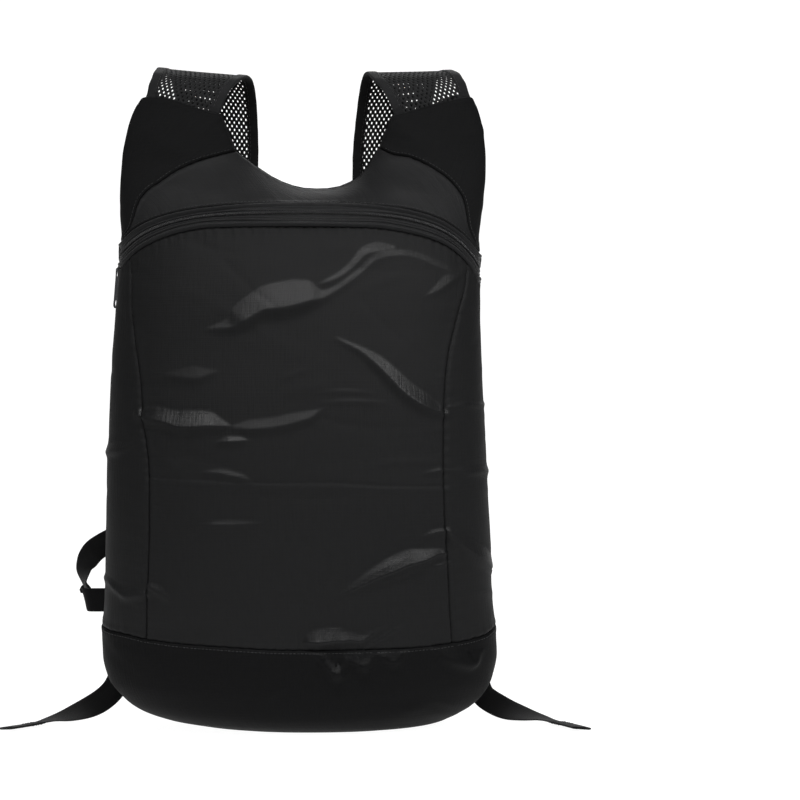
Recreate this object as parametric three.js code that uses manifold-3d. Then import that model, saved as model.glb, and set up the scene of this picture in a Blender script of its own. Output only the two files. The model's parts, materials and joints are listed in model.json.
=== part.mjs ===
// A packable nylon backpack, filled and standing on its base, with mesh shoulder straps.
// Millimetres. +X is right seen from the front, +Y is the back (strap) side, +Z is up.
// The origin is on the ground under the middle of the base. The front faces -Y.
import * as THREE from 'three';
import { mergeVertices } from 'three/addons/utils/BufferGeometryUtils.js';
import Module from 'manifold-3d';

const wasm = await Module();
wasm.setup();

// ---------- named sizes ----------
const WALL = 1.2;            // coated nylon with its seam allowance
const SEAM_GAP = 0.7;        // each panel stops this far from its seam
const PINCH_REACH = 42;      // how far below the top outline the bag starts to close
const LIP_HALF = 1.8;        // half the distance between front and back wall at the top edge
const BACK_SEAM_DEG = 128;   // where the side meets the back panel, from the front centre
const MESH_THICK = 3.0;      // spacer mesh of the shoulder straps
const BIND_WIDE = 8.5;       // binding tape folded over each strap edge
const BIND_THICK = 3.8;
const WEB_WIDE = 20;         // webbing
const WEB_THICK = 1.3;
const HEM_LONG = 33;         // folded and stitched end of the webbing
const HEM_THICK = 2.0;
const COIL_WIDE = 4.6;       // zip teeth
const PULL_TILT_DEG = 4;     // the pull leans off the bag's side at rest

// Plan sections of the filled bag. half: half width, cx: middle of the width, yFront, yWide
// and yBack: where the front, the widest line and the back lie, nFront and nBack: squareness.
const SECTIONS = [
  { z: 0,   half: 75,    cx: 13,   yFront: -34, yWide: 2,  yBack: 32, nFront: 2.2, nBack: 2.6 },
  { z: 3,   half: 98,    cx: 13,   yFront: -46, yWide: 2,  yBack: 36, nFront: 2.2, nBack: 2.8 },
  { z: 8,   half: 120,   cx: 7,    yFront: -55, yWide: 3,  yBack: 39, nFront: 2.2, nBack: 3.0 },
  { z: 16,  half: 138,   cx: 4,    yFront: -62, yWide: 4,  yBack: 42, nFront: 2.3, nBack: 3.3 },
  { z: 28,  half: 152,   cx: 2.2,  yFront: -67, yWide: 4,  yBack: 44, nFront: 2.4, nBack: 3.6 },
  { z: 42,  half: 160.5, cx: 0.5,  yFront: -71, yWide: 4,  yBack: 45, nFront: 2.5, nBack: 3.8 },
  { z: 62,  half: 164.6, cx: 0.2,  yFront: -74, yWide: 4,  yBack: 46, nFront: 2.6, nBack: 4.0 },
  { z: 84,  half: 163.8, cx: -0.3, yFront: -76, yWide: 4,  yBack: 46, nFront: 2.7, nBack: 4.0 },
  { z: 110, half: 161.2, cx: -1.0, yFront: -79, yWide: 4,  yBack: 46, nFront: 2.8, nBack: 4.0 },
  { z: 152, half: 159.6, cx: -1.4, yFront: -82, yWide: 4,  yBack: 46, nFront: 2.9, nBack: 4.0 },
  { z: 193, half: 157.9, cx: -1.7, yFront: -83, yWide: 4,  yBack: 46, nFront: 3.0, nBack: 4.0 },
  { z: 235, half: 156.5, cx: -2.0, yFront: -81, yWide: 4,  yBack: 46, nFront: 3.0, nBack: 4.0 },
  { z: 276, half: 154.8, cx: -1.9, yFront: -77, yWide: 5,  yBack: 46, nFront: 3.0, nBack: 4.0 },
  { z: 318, half: 152.6, cx: -1.4, yFront: -70, yWide: 6,  yBack: 46, nFront: 3.0, nBack: 4.0 },
  { z: 359, half: 150.3, cx: -0.8, yFront: -61, yWide: 8,  yBack: 45, nFront: 3.0, nBack: 4.0 },
  { z: 384, half: 148.6, cx: 0.4,  yFront: -53, yWide: 10, yBack: 44, nFront: 2.9, nBack: 4.0 },
  { z: 405, half: 147.8, cx: 1.2,  yFront: -44, yWide: 13, yBack: 43, nFront: 2.8, nBack: 4.0 },
  { z: 426, half: 149.8, cx: 1.7,  yFront: -33, yWide: 16, yBack: 41, nFront: 2.7, nBack: 3.8 },
  { z: 442, half: 150.9, cx: 2.5,  yFront: -22, yWide: 18, yBack: 40, nFront: 2.6, nBack: 3.6 },
  { z: 456, half: 151.4, cx: 3.4,  yFront: -10, yWide: 20, yBack: 38, nFront: 2.5, nBack: 3.4 },
  { z: 471, half: 151.2, cx: 4.2,  yFront: 2,   yWide: 22, yBack: 37, nFront: 2.4, nBack: 3.2 },
  { z: 496, half: 148.3, cx: 5.6,  yFront: 12,  yWide: 25, yBack: 36, nFront: 2.4, nBack: 3.0 },
  { z: 514, half: 143.0, cx: 6.8,  yFront: 17,  yWide: 27, yBack: 35, nFront: 2.4, nBack: 3.0 },
  { z: 526, half: 135.3, cx: 8.0,  yFront: 21,  yWide: 28, yBack: 34, nFront: 2.4, nBack: 3.0 },
];

// Seams on the front, left to right or bottom to top, as seen from the front.
const WING_TOP_LEFT = [{ x: -126.5, z: 524.5 }, { x: -108, z: 522.2 }, { x: -84, z: 514.5 }, { x: -64.6, z: 509.4 }];
const NECK = [
  { x: -64.6, z: 509.4 }, { x: -60.5, z: 500.3 }, { x: -55.5, z: 488 }, { x: -51.5, z: 479 },
  { x: -42.3, z: 471.3 }, { x: -32.4, z: 464.2 }, { x: -20, z: 456.4 }, { x: -7.5, z: 451 },
  { x: 4, z: 448.2 }, { x: 17.4, z: 447.6 }, { x: 30, z: 448.8 }, { x: 45.8, z: 455 },
  { x: 53, z: 461 }, { x: 61, z: 472 }, { x: 66.4, z: 481.3 }, { x: 71, z: 493.4 }, { x: 78.2, z: 508.7 },
];
const WING_TOP_RIGHT = [{ x: 78.2, z: 508.7 }, { x: 93.8, z: 512.6 }, { x: 119.3, z: 519.6 }, { x: 142, z: 525 }];
const WING_SEAM_LEFT = [
  { x: -143, z: 408.5 }, { x: -138, z: 416 }, { x: -135.4, z: 425.5 }, { x: -133.2, z: 433.5 },
  { x: -130.2, z: 440.1 }, { x: -123.9, z: 446.9 }, { x: -114.6, z: 453.3 }, { x: -103.4, z: 461.6 },
  { x: -90.2, z: 467.9 }, { x: -70.4, z: 474.3 }, { x: -51.5, z: 479 },
];
const WING_SEAM_RIGHT = [
  { x: 66.4, z: 481.3 }, { x: 78.7, z: 476 }, { x: 88.9, z: 474.6 }, { x: 98.2, z: 471.4 },
  { x: 109.8, z: 465.5 }, { x: 122.2, z: 457 }, { x: 131.3, z: 447 }, { x: 135.5, z: 439.4 },
  { x: 137.6, z: 430 }, { x: 139.4, z: 417.5 }, { x: 145, z: 402.5 },
];
const ZIP_UPPER = [
  { x: -145.5, z: 404 }, { x: -135.8, z: 413.8 }, { x: -124.6, z: 420.4 }, { x: -113.6, z: 424.6 },
  { x: -97.2, z: 429 }, { x: -75.4, z: 432.4 }, { x: -42.8, z: 435.1 }, { x: 0.8, z: 435.8 },
  { x: 44.4, z: 435 }, { x: 77.1, z: 432.6 }, { x: 98.9, z: 428.2 }, { x: 115.4, z: 422.5 },
  { x: 132, z: 412 }, { x: 143.3, z: 400 }, { x: 147, z: 395 },
];
const ZIP_LOWER = [
  { x: -146.4, z: 383 }, { x: -129.8, z: 398.2 }, { x: -113.3, z: 406.6 }, { x: -96.9, z: 412 },
  { x: -75.2, z: 415.8 }, { x: -53.7, z: 416.8 }, { x: 0.7, z: 417.5 }, { x: 44.1, z: 416.6 },
  { x: 65.9, z: 415.4 }, { x: 87.7, z: 411.9 }, { x: 109.5, z: 406 }, { x: 126, z: 397.5 },
  { x: 137.2, z: 387 }, { x: 144.2, z: 377 }, { x: 147.4, z: 371 },
];
const SIDE_SEAM_LEFT = [
  { x: -125.2, z: 83 }, { x: -124.4, z: 113 }, { x: -122.9, z: 144.5 }, { x: -121.8, z: 178 },
  { x: -121.7, z: 206.5 }, { x: -122.9, z: 232.4 }, { x: -126, z: 254 }, { x: -127.5, z: 270 },
  { x: -129.4, z: 294 }, { x: -132.7, z: 317 }, { x: -136, z: 341 }, { x: -137.2, z: 355 },
  { x: -137, z: 370 }, { x: -138, z: 391.5 },
];
const SIDE_SEAM_RIGHT = [
  { x: 124, z: 77.5 }, { x: 122, z: 109.5 }, { x: 120.7, z: 133.6 }, { x: 118.1, z: 170 },
  { x: 116.8, z: 218 }, { x: 117.2, z: 263 }, { x: 118.5, z: 290 }, { x: 121.8, z: 314.5 },
  { x: 127.4, z: 337 }, { x: 130.6, z: 350 }, { x: 134.1, z: 361.4 }, { x: 136.4, z: 372.4 }, { x: 137.6, z: 386.6 },
];
// Height of the seam between the base and the panels above it, by angle round the bag.
const BASE_SEAM = [
  { deg: -180, z: 86 }, { deg: -128, z: 87 }, { deg: -90, z: 87 }, { deg: -70, z: 86 }, { deg: -54, z: 84.8 },
  { deg: -44, z: 81.8 }, { deg: -27, z: 78.1 }, { deg: 0, z: 74.6 }, { deg: 27, z: 74.8 }, { deg: 40, z: 76.7 },
  { deg: 58, z: 80.5 }, { deg: 73, z: 84.5 }, { deg: 90, z: 86 }, { deg: 128, z: 87 }, { deg: 180, z: 86 },
];
// The zip's two seams round the sides, behind the widest line, as heights by angle.
const ZIP_SIDE = [
  { deg: 90, upperLeft: 403, lowerLeft: 382.5, upperRight: 393.5, lowerRight: 369.5 },
  { deg: 100, upperLeft: 395, lowerLeft: 374, upperRight: 387, lowerRight: 364 },
  { deg: 111, upperLeft: 389, lowerLeft: 367.5, upperRight: 383, lowerRight: 360.5 },
  { deg: 128, upperLeft: 385, lowerLeft: 364, upperRight: 380, lowerRight: 358 },
];
// Main folds of the cloth: a ridge (or a dent where h is negative) from one point to another.
const FOLDS = [
  { x0: -80, z0: 338, x1: -28, z1: 366, h: 2.6, w: 13 },
  { x0: -28, z0: 366, x1: 24,  z1: 368, h: 3.4, w: 13 },
  { x0: 24,  z0: 368, x1: 70,  z1: 402, h: 3.0, w: 11 },
  { x0: 4,   z0: 352, x1: 62,  z1: 384, h: -2.2, w: 10 },
  { x0: 30,  z0: 342, x1: 74,  z1: 309, h: 2.4, w: 12 },
  { x0: 74,  z0: 309, x1: 118, z1: 270, h: 2.2, w: 11 },
  { x0: -126, z0: 273, x1: -62, z1: 259, h: 2.4, w: 11 },
  { x0: 30,  z0: 121, x1: 72,  z1: 143, h: 2.8, w: 12 },
  { x0: 72,  z0: 143, x1: 118, z1: 157, h: 2.4, w: 11 },
  { x0: 36,  z0: 104, x1: 112, z1: 130, h: -2.0, w: 13 },
  { x0: -110, z0: 216, x1: 112, z1: 209, h: -1.0, w: 9 },
  { x0: -156, z0: 133, x1: -112, z1: 118, h: 2.0, w: 11 },
  { x0: 122, z0: 172, x1: 154, z1: 178, h: 2.0, w: 11 },
];
// Shoulder strap of the left side, from the wing over the top and down behind the back panel.
// xIn, zIn: the edge nearer the neck, xOut, zOut: the outer edge, y: its distance back.
const STRAP = [
  { xIn: -65.2, zIn: 511.9, xOut: -126, zOut: 527.1, y: 28.2 },
  { xIn: -61.5, zIn: 521,  xOut: -124.5, zOut: 534,  y: 29.6 },
  { xIn: -56,   zIn: 531,  xOut: -122.5, zOut: 539.5,  y: 34 },
  { xIn: -48.5, zIn: 538.5, xOut: -120.5, zOut: 545,  y: 41.5 },
  { xIn: -43,   zIn: 541.4, xOut: -118, zOut: 548,  y: 51 },
  { xIn: -39.3, zIn: 538.8,  xOut: -112, zOut: 546,  y: 61 },
  { xIn: -36.8, zIn: 529.5,  xOut: -107, zOut: 537,  y: 70 },
  { xIn: -35.4, zIn: 514,  xOut: -104, zOut: 520,  y: 77 },
  { xIn: -34.4, zIn: 480,  xOut: -101.5, zOut: 484,  y: 80 },
  { xIn: -37,   zIn: 428.5, xOut: -102.5, zOut: 431.5, y: 77 },
  { xIn: -42,   zIn: 376.5, xOut: -105.3, zOut: 381.5, y: 71 },
  { xIn: -49.4, zIn: 323.3, xOut: -107.6, zOut: 332.7, y: 65 },
  { xIn: -62,   zIn: 276.5, xOut: -107.2, zOut: 291.5, y: 60.5 },
  { xIn: -79.2, zIn: 239.2, xOut: -110.2, zOut: 253,   y: 57.9 },
  { xIn: -84.1, zIn: 228.3, xOut: -115.1, zOut: 242.1, y: 57.4 },
];
const LOCK = { x: -105.7, y: 56.8, z: 221.5, lean: 24 }; // middle of the left ladder lock, and its lean outward
// Webbing, as seen from the front. twist: 0 faces the front, 90 lies flat.
const LOOP = { y: 33, z: 102, radius: 5, axisX: 0.24, axisZ: -0.971, turnX: -176.2 };
// The left webbing from its fold up behind the bag to its lock: the loop at the bag's side.
const RISE_LEFT = [
  { x: -182.2, y: 45.2, z: 115.5, twist: 74 }, { x: -182.6, y: 47.4, z: 125, twist: 50 }, { x: -179.7, y: 50, z: 133.5, twist: 24 },
  { x: -174.8, y: 52.5, z: 140.8, twist: 8 }, { x: -165.2, y: 54, z: 147.3, twist: 0 },
  { x: -151, y: 54.4, z: 154.5, twist: 0 }, { x: -136, y: 54.4, z: 165, twist: 0 }, { x: -124.5, y: 54.4, z: 181, twist: 0 }, { x: -118.4, y: 54.4, z: 193.5, twist: 0 },
];
// The right webbing from the back seam up to its lock. turn: how far its width has turned off upright.
const RISE_RIGHT = [
  { x: 155.6, y: 31.5, z: 110, turn: 0 }, { x: 158.8, y: 38, z: 112, turn: 8 }, { x: 156.5, y: 46, z: 118, turn: 20 },
  { x: 148.5, y: 51.5, z: 130, turn: 36 }, { x: 138, y: 54, z: 149, turn: 50 }, { x: 127.5, y: 54.5, z: 171, turn: 60 },
  { x: 118.8, y: 54.4, z: 191, turn: 66 },
];
const TAIL_LEFT = [
  { x: -118, y: 62.0, z: 196, twist: 0 }, { x: -127, y: 63.5, z: 160, twist: 0 }, { x: -136, y: 63, z: 120, twist: 0 },
  { x: -143, y: 60, z: 80, twist: 0 }, { x: -149, y: 56, z: 48, twist: 3 }, { x: -157.4, y: 50, z: 25, twist: 7 },
  { x: -168.5, y: 41, z: 15, twist: 18 }, { x: -183, y: 29, z: 9, twist: 44 }, { x: -197, y: 17, z: 5.8, twist: 71 },
  { x: -208, y: 9, z: 4.6, twist: 88 }, { x: -217, y: 1, z: 3.6, twist: 96 }, { x: -230, y: -10, z: 2.9, twist: 98 }, { x: -243, y: -21, z: 2.8, twist: 98 },
];
const TAIL_RIGHT = [
  { x: 118, y: 62.0, z: 196, twist: 180 }, { x: 127, y: 63.5, z: 160, twist: 180 }, { x: 136, y: 63, z: 120, twist: 180 },
  { x: 143, y: 60, z: 78, twist: 180 }, { x: 148.6, y: 57, z: 43, twist: 177 }, { x: 155.4, y: 48, z: 17.6, twist: 170 },
  { x: 166.2, y: 36, z: 10.8, twist: 158 }, { x: 178.3, y: 23, z: 7, twist: 134 }, { x: 190.5, y: 11, z: 5.4, twist: 110 },
  { x: 203, y: 1, z: 4.4, twist: 92 }, { x: 212, y: -7, z: 3.3, twist: 84 }, { x: 222.5, y: -20, z: 2.9, twist: 82 }, { x: 232.3, y: -36, z: 2.8, twist: 82 },
];

// ---------- curves and the bag's surface ----------
const rad = THREE.MathUtils.degToRad;
const clamp = THREE.MathUtils.clamp;
const mix = THREE.MathUtils.lerp;

// A smooth curve through (x, y) pairs that never overshoots them.
function smooth(xs, ys) {
  const n = xs.length, h = [], d = [], m = new Array(n);
  for (let i = 0; i < n - 1; i++) { h.push(xs[i + 1] - xs[i]); d.push((ys[i + 1] - ys[i]) / h[i]); }
  m[0] = d[0]; m[n - 1] = d[n - 2];
  for (let i = 1; i < n - 1; i++) {
    const w1 = 2 * h[i] + h[i - 1], w2 = h[i] + 2 * h[i - 1];
    m[i] = d[i - 1] * d[i] > 0 ? (w1 + w2) / (w1 / d[i - 1] + w2 / d[i]) : 0;
  }
  return (t) => {
    t = clamp(t, xs[0], xs[n - 1]);
    let i = 0;
    while (i < n - 2 && t > xs[i + 1]) i++;
    const u = (t - xs[i]) / h[i], a = ys[i], b = ys[i + 1], p = m[i] * h[i], q = m[i + 1] * h[i];
    return a * (1 + 2 * u) * (1 - u) ** 2 + p * u * (1 - u) ** 2 + b * u * u * (3 - 2 * u) + q * u * u * (u - 1);
  };
}
const column = (rows, key, by) => smooth(rows.map((r) => r[by]), rows.map((r) => r[key]));
const section = {};
for (const key of ['half', 'cx', 'yFront', 'yWide', 'yBack', 'nFront', 'nBack']) section[key] = column(SECTIONS, key, 'z');

// A curve through a seam's rows, by its length from 0 to 1.
function seam(rows) {
  const s = [0];
  for (let i = 1; i < rows.length; i++) s.push(s[i - 1] + Math.hypot(rows[i].x - rows[i - 1].x, rows[i].z - rows[i - 1].z));
  const fx = smooth(s, rows.map((r) => r.x)), fz = smooth(s, rows.map((r) => r.z)), L = s[s.length - 1];
  const f = (t) => ({ x: fx(t * L), z: fz(t * L) });
  f.long = L;
  return f;
}
const topRows = [...WING_TOP_LEFT, ...NECK.slice(1), ...WING_TOP_RIGHT.slice(1)];
const topOutline = seam(topRows);
const topPoints = Array.from({ length: 260 }, (_, i) => topOutline(i / 259));

function closing(x, z) {
  if (z < 400) return 1;
  let d = 1e9;
  for (const p of topPoints) d = Math.min(d, Math.hypot(x - p.x, z - p.z));
  const u = clamp(d / PINCH_REACH, 0, 1);
  return Math.sqrt(1 - (1 - u) ** 2);
}
function bagPoint(deg, z) {
  const a = Math.sin(rad(deg)), b = Math.cos(rad(deg)), front = Math.abs(deg) <= 90;
  const n = front ? section.nFront(z) : section.nBack(z);
  const r = (Math.abs(a) ** n + Math.abs(b) ** n) ** (-1 / n);
  const x = section.cx(z) + section.half(z) * r * a, v = r * Math.abs(b), wide = section.yWide(z);
  const reach = front ? section.yFront(z) - wide : section.yBack(z) - wide;
  const p = closing(x, z);
  const y = wide + reach * v * p + (front ? -1 : 1) * LIP_HALF * (1 - p) * Math.min(1, v * 3);
  return new THREE.Vector3(x, y, z);
}
function degOf(x, z) {
  const n = section.nFront(z), u = clamp((x - section.cx(z)) / section.half(z), -0.9999, 0.9999), a = Math.abs(u);
  return THREE.MathUtils.radToDeg(Math.atan(a / (1 - a ** n) ** (1 / n))) * Math.sign(u);
}
function foldHeight(deg, x, z) {
  if (Math.abs(deg) > 100) return 0;
  let sum = 0;
  for (const f of FOLDS) {
    const dx = f.x1 - f.x0, dz = f.z1 - f.z0, L = Math.hypot(dx, dz);
    const t = ((x - f.x0) * dx + (z - f.z0) * dz) / (L * L), c = clamp(t, 0, 1);
    const d = Math.hypot(x - f.x0 - c * dx, z - f.z0 - c * dz);
    sum += f.h * Math.exp(-((d / f.w) ** 2));
  }
  return sum;
}
function outward(deg, z) {
  const z0 = Math.max(0.01, z - 1.5), z1 = Math.min(SECTIONS[SECTIONS.length - 1].z, z + 1.5);
  const along = bagPoint(deg + 0.7, z).sub(bagPoint(deg - 0.7, z)), up = bagPoint(deg, z1).sub(bagPoint(deg, z0));
  return along.cross(up).normalize();
}
// A point of the cloth, lift mm outside the bag's surface.
function cloth(deg, z, lift = 0) {
  const p = bagPoint(deg, z);
  return p.addScaledVector(outward(deg, z), foldHeight(deg, p.x, z) + lift);
}

// ---------- solids ----------
function solid(positions, triangles) {
  const g = new THREE.BufferGeometry();
  let volume = 0;
  const v = (i) => new THREE.Vector3(positions[3 * i], positions[3 * i + 1], positions[3 * i + 2]);
  for (const [a, b, c] of triangles) volume += v(a).dot(v(b).cross(v(c)));
  g.setAttribute('position', new THREE.Float32BufferAttribute(positions, 3));
  g.setIndex(triangles.flatMap(([a, b, c]) => (volume > 0 ? [a, b, c] : [a, c, b])));
  g.computeVertexNormals();
  return g;
}
// A wall between two grids of points that have the same rows and columns.
function wall(outer, inner) {
  const rows = outer.length, cols = outer[0].length, pos = [], tri = [];
  for (const grid of [outer, inner]) for (const row of grid) for (const p of row) pos.push(p.x, p.y, p.z);
  const id = (k, i, j) => k * rows * cols + i * cols + j;
  const quad = (a, b, c, d) => tri.push([a, b, c], [a, c, d]);
  for (let i = 0; i < rows - 1; i++) for (let j = 0; j < cols - 1; j++) {
    quad(id(0, i, j), id(0, i, j + 1), id(0, i + 1, j + 1), id(0, i + 1, j));
    quad(id(1, i, j), id(1, i + 1, j), id(1, i + 1, j + 1), id(1, i, j + 1));
  }
  for (let j = 0; j < cols - 1; j++) {
    quad(id(1, 0, j), id(1, 0, j + 1), id(0, 0, j + 1), id(0, 0, j));
    quad(id(0, rows - 1, j), id(0, rows - 1, j + 1), id(1, rows - 1, j + 1), id(1, rows - 1, j));
  }
  for (let i = 0; i < rows - 1; i++) {
    quad(id(0, i, 0), id(0, i + 1, 0), id(1, i + 1, 0), id(1, i, 0));
    quad(id(1, i, cols - 1), id(1, i + 1, cols - 1), id(0, i + 1, cols - 1), id(0, i, cols - 1));
  }
  return solid(pos, tri);
}
// A panel of cloth inside four seams. Each seam gives (deg, z) for t from 0 to 1.
function panel({ left, right, bottom, top }, cols, rows, over = 0, under = WALL, inset = SEAM_GAP) {
  const grid = [[], []];
  const at = (s, t) => {
    const c00 = bottom(0), c10 = bottom(1), c01 = top(0), c11 = top(1);
    const b = bottom(s), u = top(s), l = left(t), r = right(t);
    const f = (k) => mix(b[k], u[k], t) + mix(l[k], r[k], s)
      - mix(mix(c00[k], c10[k], s), mix(c01[k], c11[k], s), t);
    return { deg: f('deg'), z: f('z') };
  };
  const span = (a, b) => bagPoint(a.deg, a.z).distanceTo(bagPoint(b.deg, b.z));
  for (let i = 0; i < rows; i++) {
    const outer = [], inner = [];
    for (let j = 0; j < cols; j++) {
      let s = j / (cols - 1), t = i / (rows - 1);
      // the edge rows and columns step back from the seam
      const wide = span(at(0, t), at(1, t)), tall = span(at(s, 0), at(s, 1));
      if (j === 0 || j === cols - 1) s = j ? 1 - inset / wide : inset / wide;
      if (i === 0 || i === rows - 1) t = i ? 1 - inset / tall : inset / tall;
      const q = at(s, t);
      outer.push(cloth(q.deg, q.z, over));
      inner.push(cloth(q.deg, q.z, over - under));
    }
    grid[0].push(outer); grid[1].push(inner);
  }
  return wall(grid[0], grid[1]);
}
const onFront = (rows) => {
  const f = seam(rows);
  return (t) => { const p = f(t); return { deg: degOf(p.x, p.z), z: p.z }; };
};
const between = (a, b) => (t) => ({ deg: mix(a.deg, b.deg, t), z: mix(a.z, b.z, t) });
// Joins curves end to end, each with its share of t.
const joined = (...parts) => (t) => {
  const total = parts.reduce((s, p) => s + p.share, 0);
  let u = t * total;
  for (const [k, p] of parts.entries()) {
    if (u <= p.share || k === parts.length - 1) return p.f(clamp(u / p.share, 0, 1));
    u -= p.share;
  }
};
const part = (f, share) => ({ f, share });
const reversed = (f) => (t) => f(1 - t);
// A stretch of a curve.
const stretch = (f, a, b) => (t) => f(mix(a, b, t));
// Where a front seam crosses the height z, as t.
function tAt(f, key, value) {
  let best = 0, near = 1e9;
  for (let i = 0; i <= 2000; i++) { const e = Math.abs(f(i / 2000)[key] - value); if (e < near) { near = e; best = i / 2000; } }
  return best;
}

const baseZ = column(BASE_SEAM, 'z', 'deg');
const baseRow = (deg) => ({ deg, z: baseZ(deg) });
const zipUpperFront = onFront(ZIP_UPPER), zipLowerFront = onFront(ZIP_LOWER);
const side = (key) => column(ZIP_SIDE, key, 'deg');
const sideRow = (key, sign, a, b) => { const f = side(key); return (t) => { const d = mix(a, b, t); return { deg: sign * d, z: f(d) }; }; };
// The zip's two seams from the left back seam over the front to the right back seam.
function zipLine(upper) {
  const front = upper ? zipUpperFront : zipLowerFront, name = upper ? 'upper' : 'lower';
  const first = front(0), last = front(1);
  const l = sideRow(name + 'Left', -1, BACK_SEAM_DEG, 90), r = sideRow(name + 'Right', 1, 90, BACK_SEAM_DEG);
  return joined(part(l, 0.13), part(between({ deg: -90, z: l(1).z }, first), 0.035), part(front, 0.67),
    part(between(last, { deg: 90, z: r(0).z }), 0.035), part(r, 0.13));
}
const zipUpper = zipLine(true), zipLower = zipLine(false);
const zipBetween = (share) => (t) => { const a = zipLower(t), b = zipUpper(t); return { deg: mix(a.deg, b.deg, share), z: mix(a.z, b.z, share) }; };

const fronts = { left: onFront(SIDE_SEAM_LEFT), right: onFront(SIDE_SEAM_RIGHT) };
const pieces = {};

// front panel
{
  const l = fronts.left, r = fronts.right;
  const b0 = l(0), b1 = r(0), t0 = l(1), t1 = r(1);
  const u0 = tAt(zipLower, 'deg', t0.deg), u1 = tAt(zipLower, 'deg', t1.deg);
  const bottom = (t) => baseRow(mix(b0.deg, b1.deg, t));
  const topC = (t) => zipLower(mix(u0, u1, t));
  // the side seams end on the base and zip seams
  const fit = (f, a, b) => (t) => { const p = f(t), e0 = f(0), e1 = f(1); return { deg: p.deg + mix(a.deg - e0.deg, b.deg - e1.deg, t), z: p.z + mix(a.z - e0.z, b.z - e1.z, t) }; };
  pieces.frontLeft = fit(l, bottom(0), topC(0)); pieces.frontRight = fit(r, bottom(1), topC(1));
  pieces.front_panel = panel({ left: pieces.frontLeft, right: pieces.frontRight, bottom, top: topC }, 19, 23);
  // side panels, from the front seam round to the back seam
  pieces.side_panel_left = panel({
    left: between({ deg: -BACK_SEAM_DEG, z: baseZ(-BACK_SEAM_DEG) }, { deg: -BACK_SEAM_DEG, z: zipLower(0).z }),
    right: pieces.frontLeft, bottom: (t) => baseRow(mix(-BACK_SEAM_DEG, b0.deg, t)), top: stretch(zipLower, 0, u0),
  }, 9, 19);
  pieces.side_panel_right = panel({
    left: pieces.frontRight, right: between({ deg: BACK_SEAM_DEG, z: baseZ(BACK_SEAM_DEG) }, { deg: BACK_SEAM_DEG, z: zipLower(1).z }),
    bottom: (t) => baseRow(mix(b1.deg, BACK_SEAM_DEG, t)), top: stretch(zipLower, u1, 1),
  }, 9, 19);
}

// zip: two tapes with the teeth between them
{
  const coilLow = 0.52, coilHigh = 0.74;
  const end = (a, b, t0) => (t) => { const p = a(t0), q = b(t0); return { deg: mix(p.deg, q.deg, t), z: mix(p.z, q.z, t) }; };
  const strip = (a, b, over, under, rows) => panel({ left: end(a, b, 0), right: end(a, b, 1), bottom: a, top: b }, 46, rows, over, under, 0.35);
  pieces.zip_tape_lower = strip(zipLower, zipBetween(coilLow), 0.4, 1.2, 2);
  pieces.zip_coil = strip(zipBetween(coilLow), zipBetween(coilHigh), 1.0, 1.8, 2);
  pieces.zip_tape_upper = strip(zipBetween(coilHigh), zipUpper, 0.4, 1.2, 2);
  pieces.coilLine = zipBetween((coilLow + coilHigh) / 2);
}

// yoke: between the zip and the neck, its ends cut short
{
  const wl = onFront(WING_SEAM_LEFT), wr = onFront(WING_SEAM_RIGHT), nk = onFront(NECK);
  const a = tAt(seam(NECK), 'x', WING_SEAM_LEFT[WING_SEAM_LEFT.length - 1].x), b = tAt(seam(NECK), 'x', WING_SEAM_RIGHT[0].x);
  const topC = joined(part(wl, 0.36), part(stretch(nk, a, b), 0.34), part(wr, 0.36));
  const u0 = tAt(zipUpper, 'deg', degOf(-144, 405.5)), u1 = tAt(zipUpper, 'deg', degOf(145.5, 397.5));
  const bottom = stretch(zipUpper, u0, u1);
  pieces.yoke_panel = panel({ left: between(bottom(0), topC(0)), right: between(bottom(1), topC(1)), bottom, top: topC }, 31, 5, 0, WALL, 1.3);
  pieces.wingSeam = { left: wl, right: wr, neckA: a, neckB: b, u0, u1, nk };
}

// wings: they wrap round to the back seam and carry the straps
{
  const { left: wl, right: wr, nk, u0, u1, neckA, neckB } = pieces.wingSeam;
  const topZ = (rows, sign) => {
    const f = onFront(rows), end = rows[sign < 0 ? 0 : rows.length - 1];
    const d = Math.abs(degOf(end.x, end.z));
    const round = (t) => ({ deg: sign * mix(d, BACK_SEAM_DEG, t), z: end.z - 0.5 * t });
    return sign < 0 ? joined(part(reversed(round), 0.3), part(f, 0.7)) : joined(part(f, 0.7), part(round, 0.3));
  };
  const lowL = joined(part(stretch(zipUpper, 0, u0), 0.3), part(between(zipUpper(u0), wl(0)), 0.02), part(wl, 0.68));
  const lowR = joined(part(wr, 0.68), part(between(wr(1), zipUpper(u1)), 0.02), part(stretch(zipUpper, u1, 1), 0.3));
  const topL = topZ(WING_TOP_LEFT, -1), topR = topZ(WING_TOP_RIGHT, 1);
  pieces.wing_left = panel({ left: between(lowL(0), topL(0)), right: reversed(stretch(nk, 0, neckA)), bottom: lowL, top: topL }, 19, 8, 0, WALL, 1.1);
  pieces.wing_right = panel({ left: stretch(nk, neckB, 1), right: between(lowR(1), topR(1)), bottom: lowR, top: topR }, 19, 8, 0, WALL, 1.1);
  pieces.wingTop = { left: topL, right: topR };
}

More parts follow.
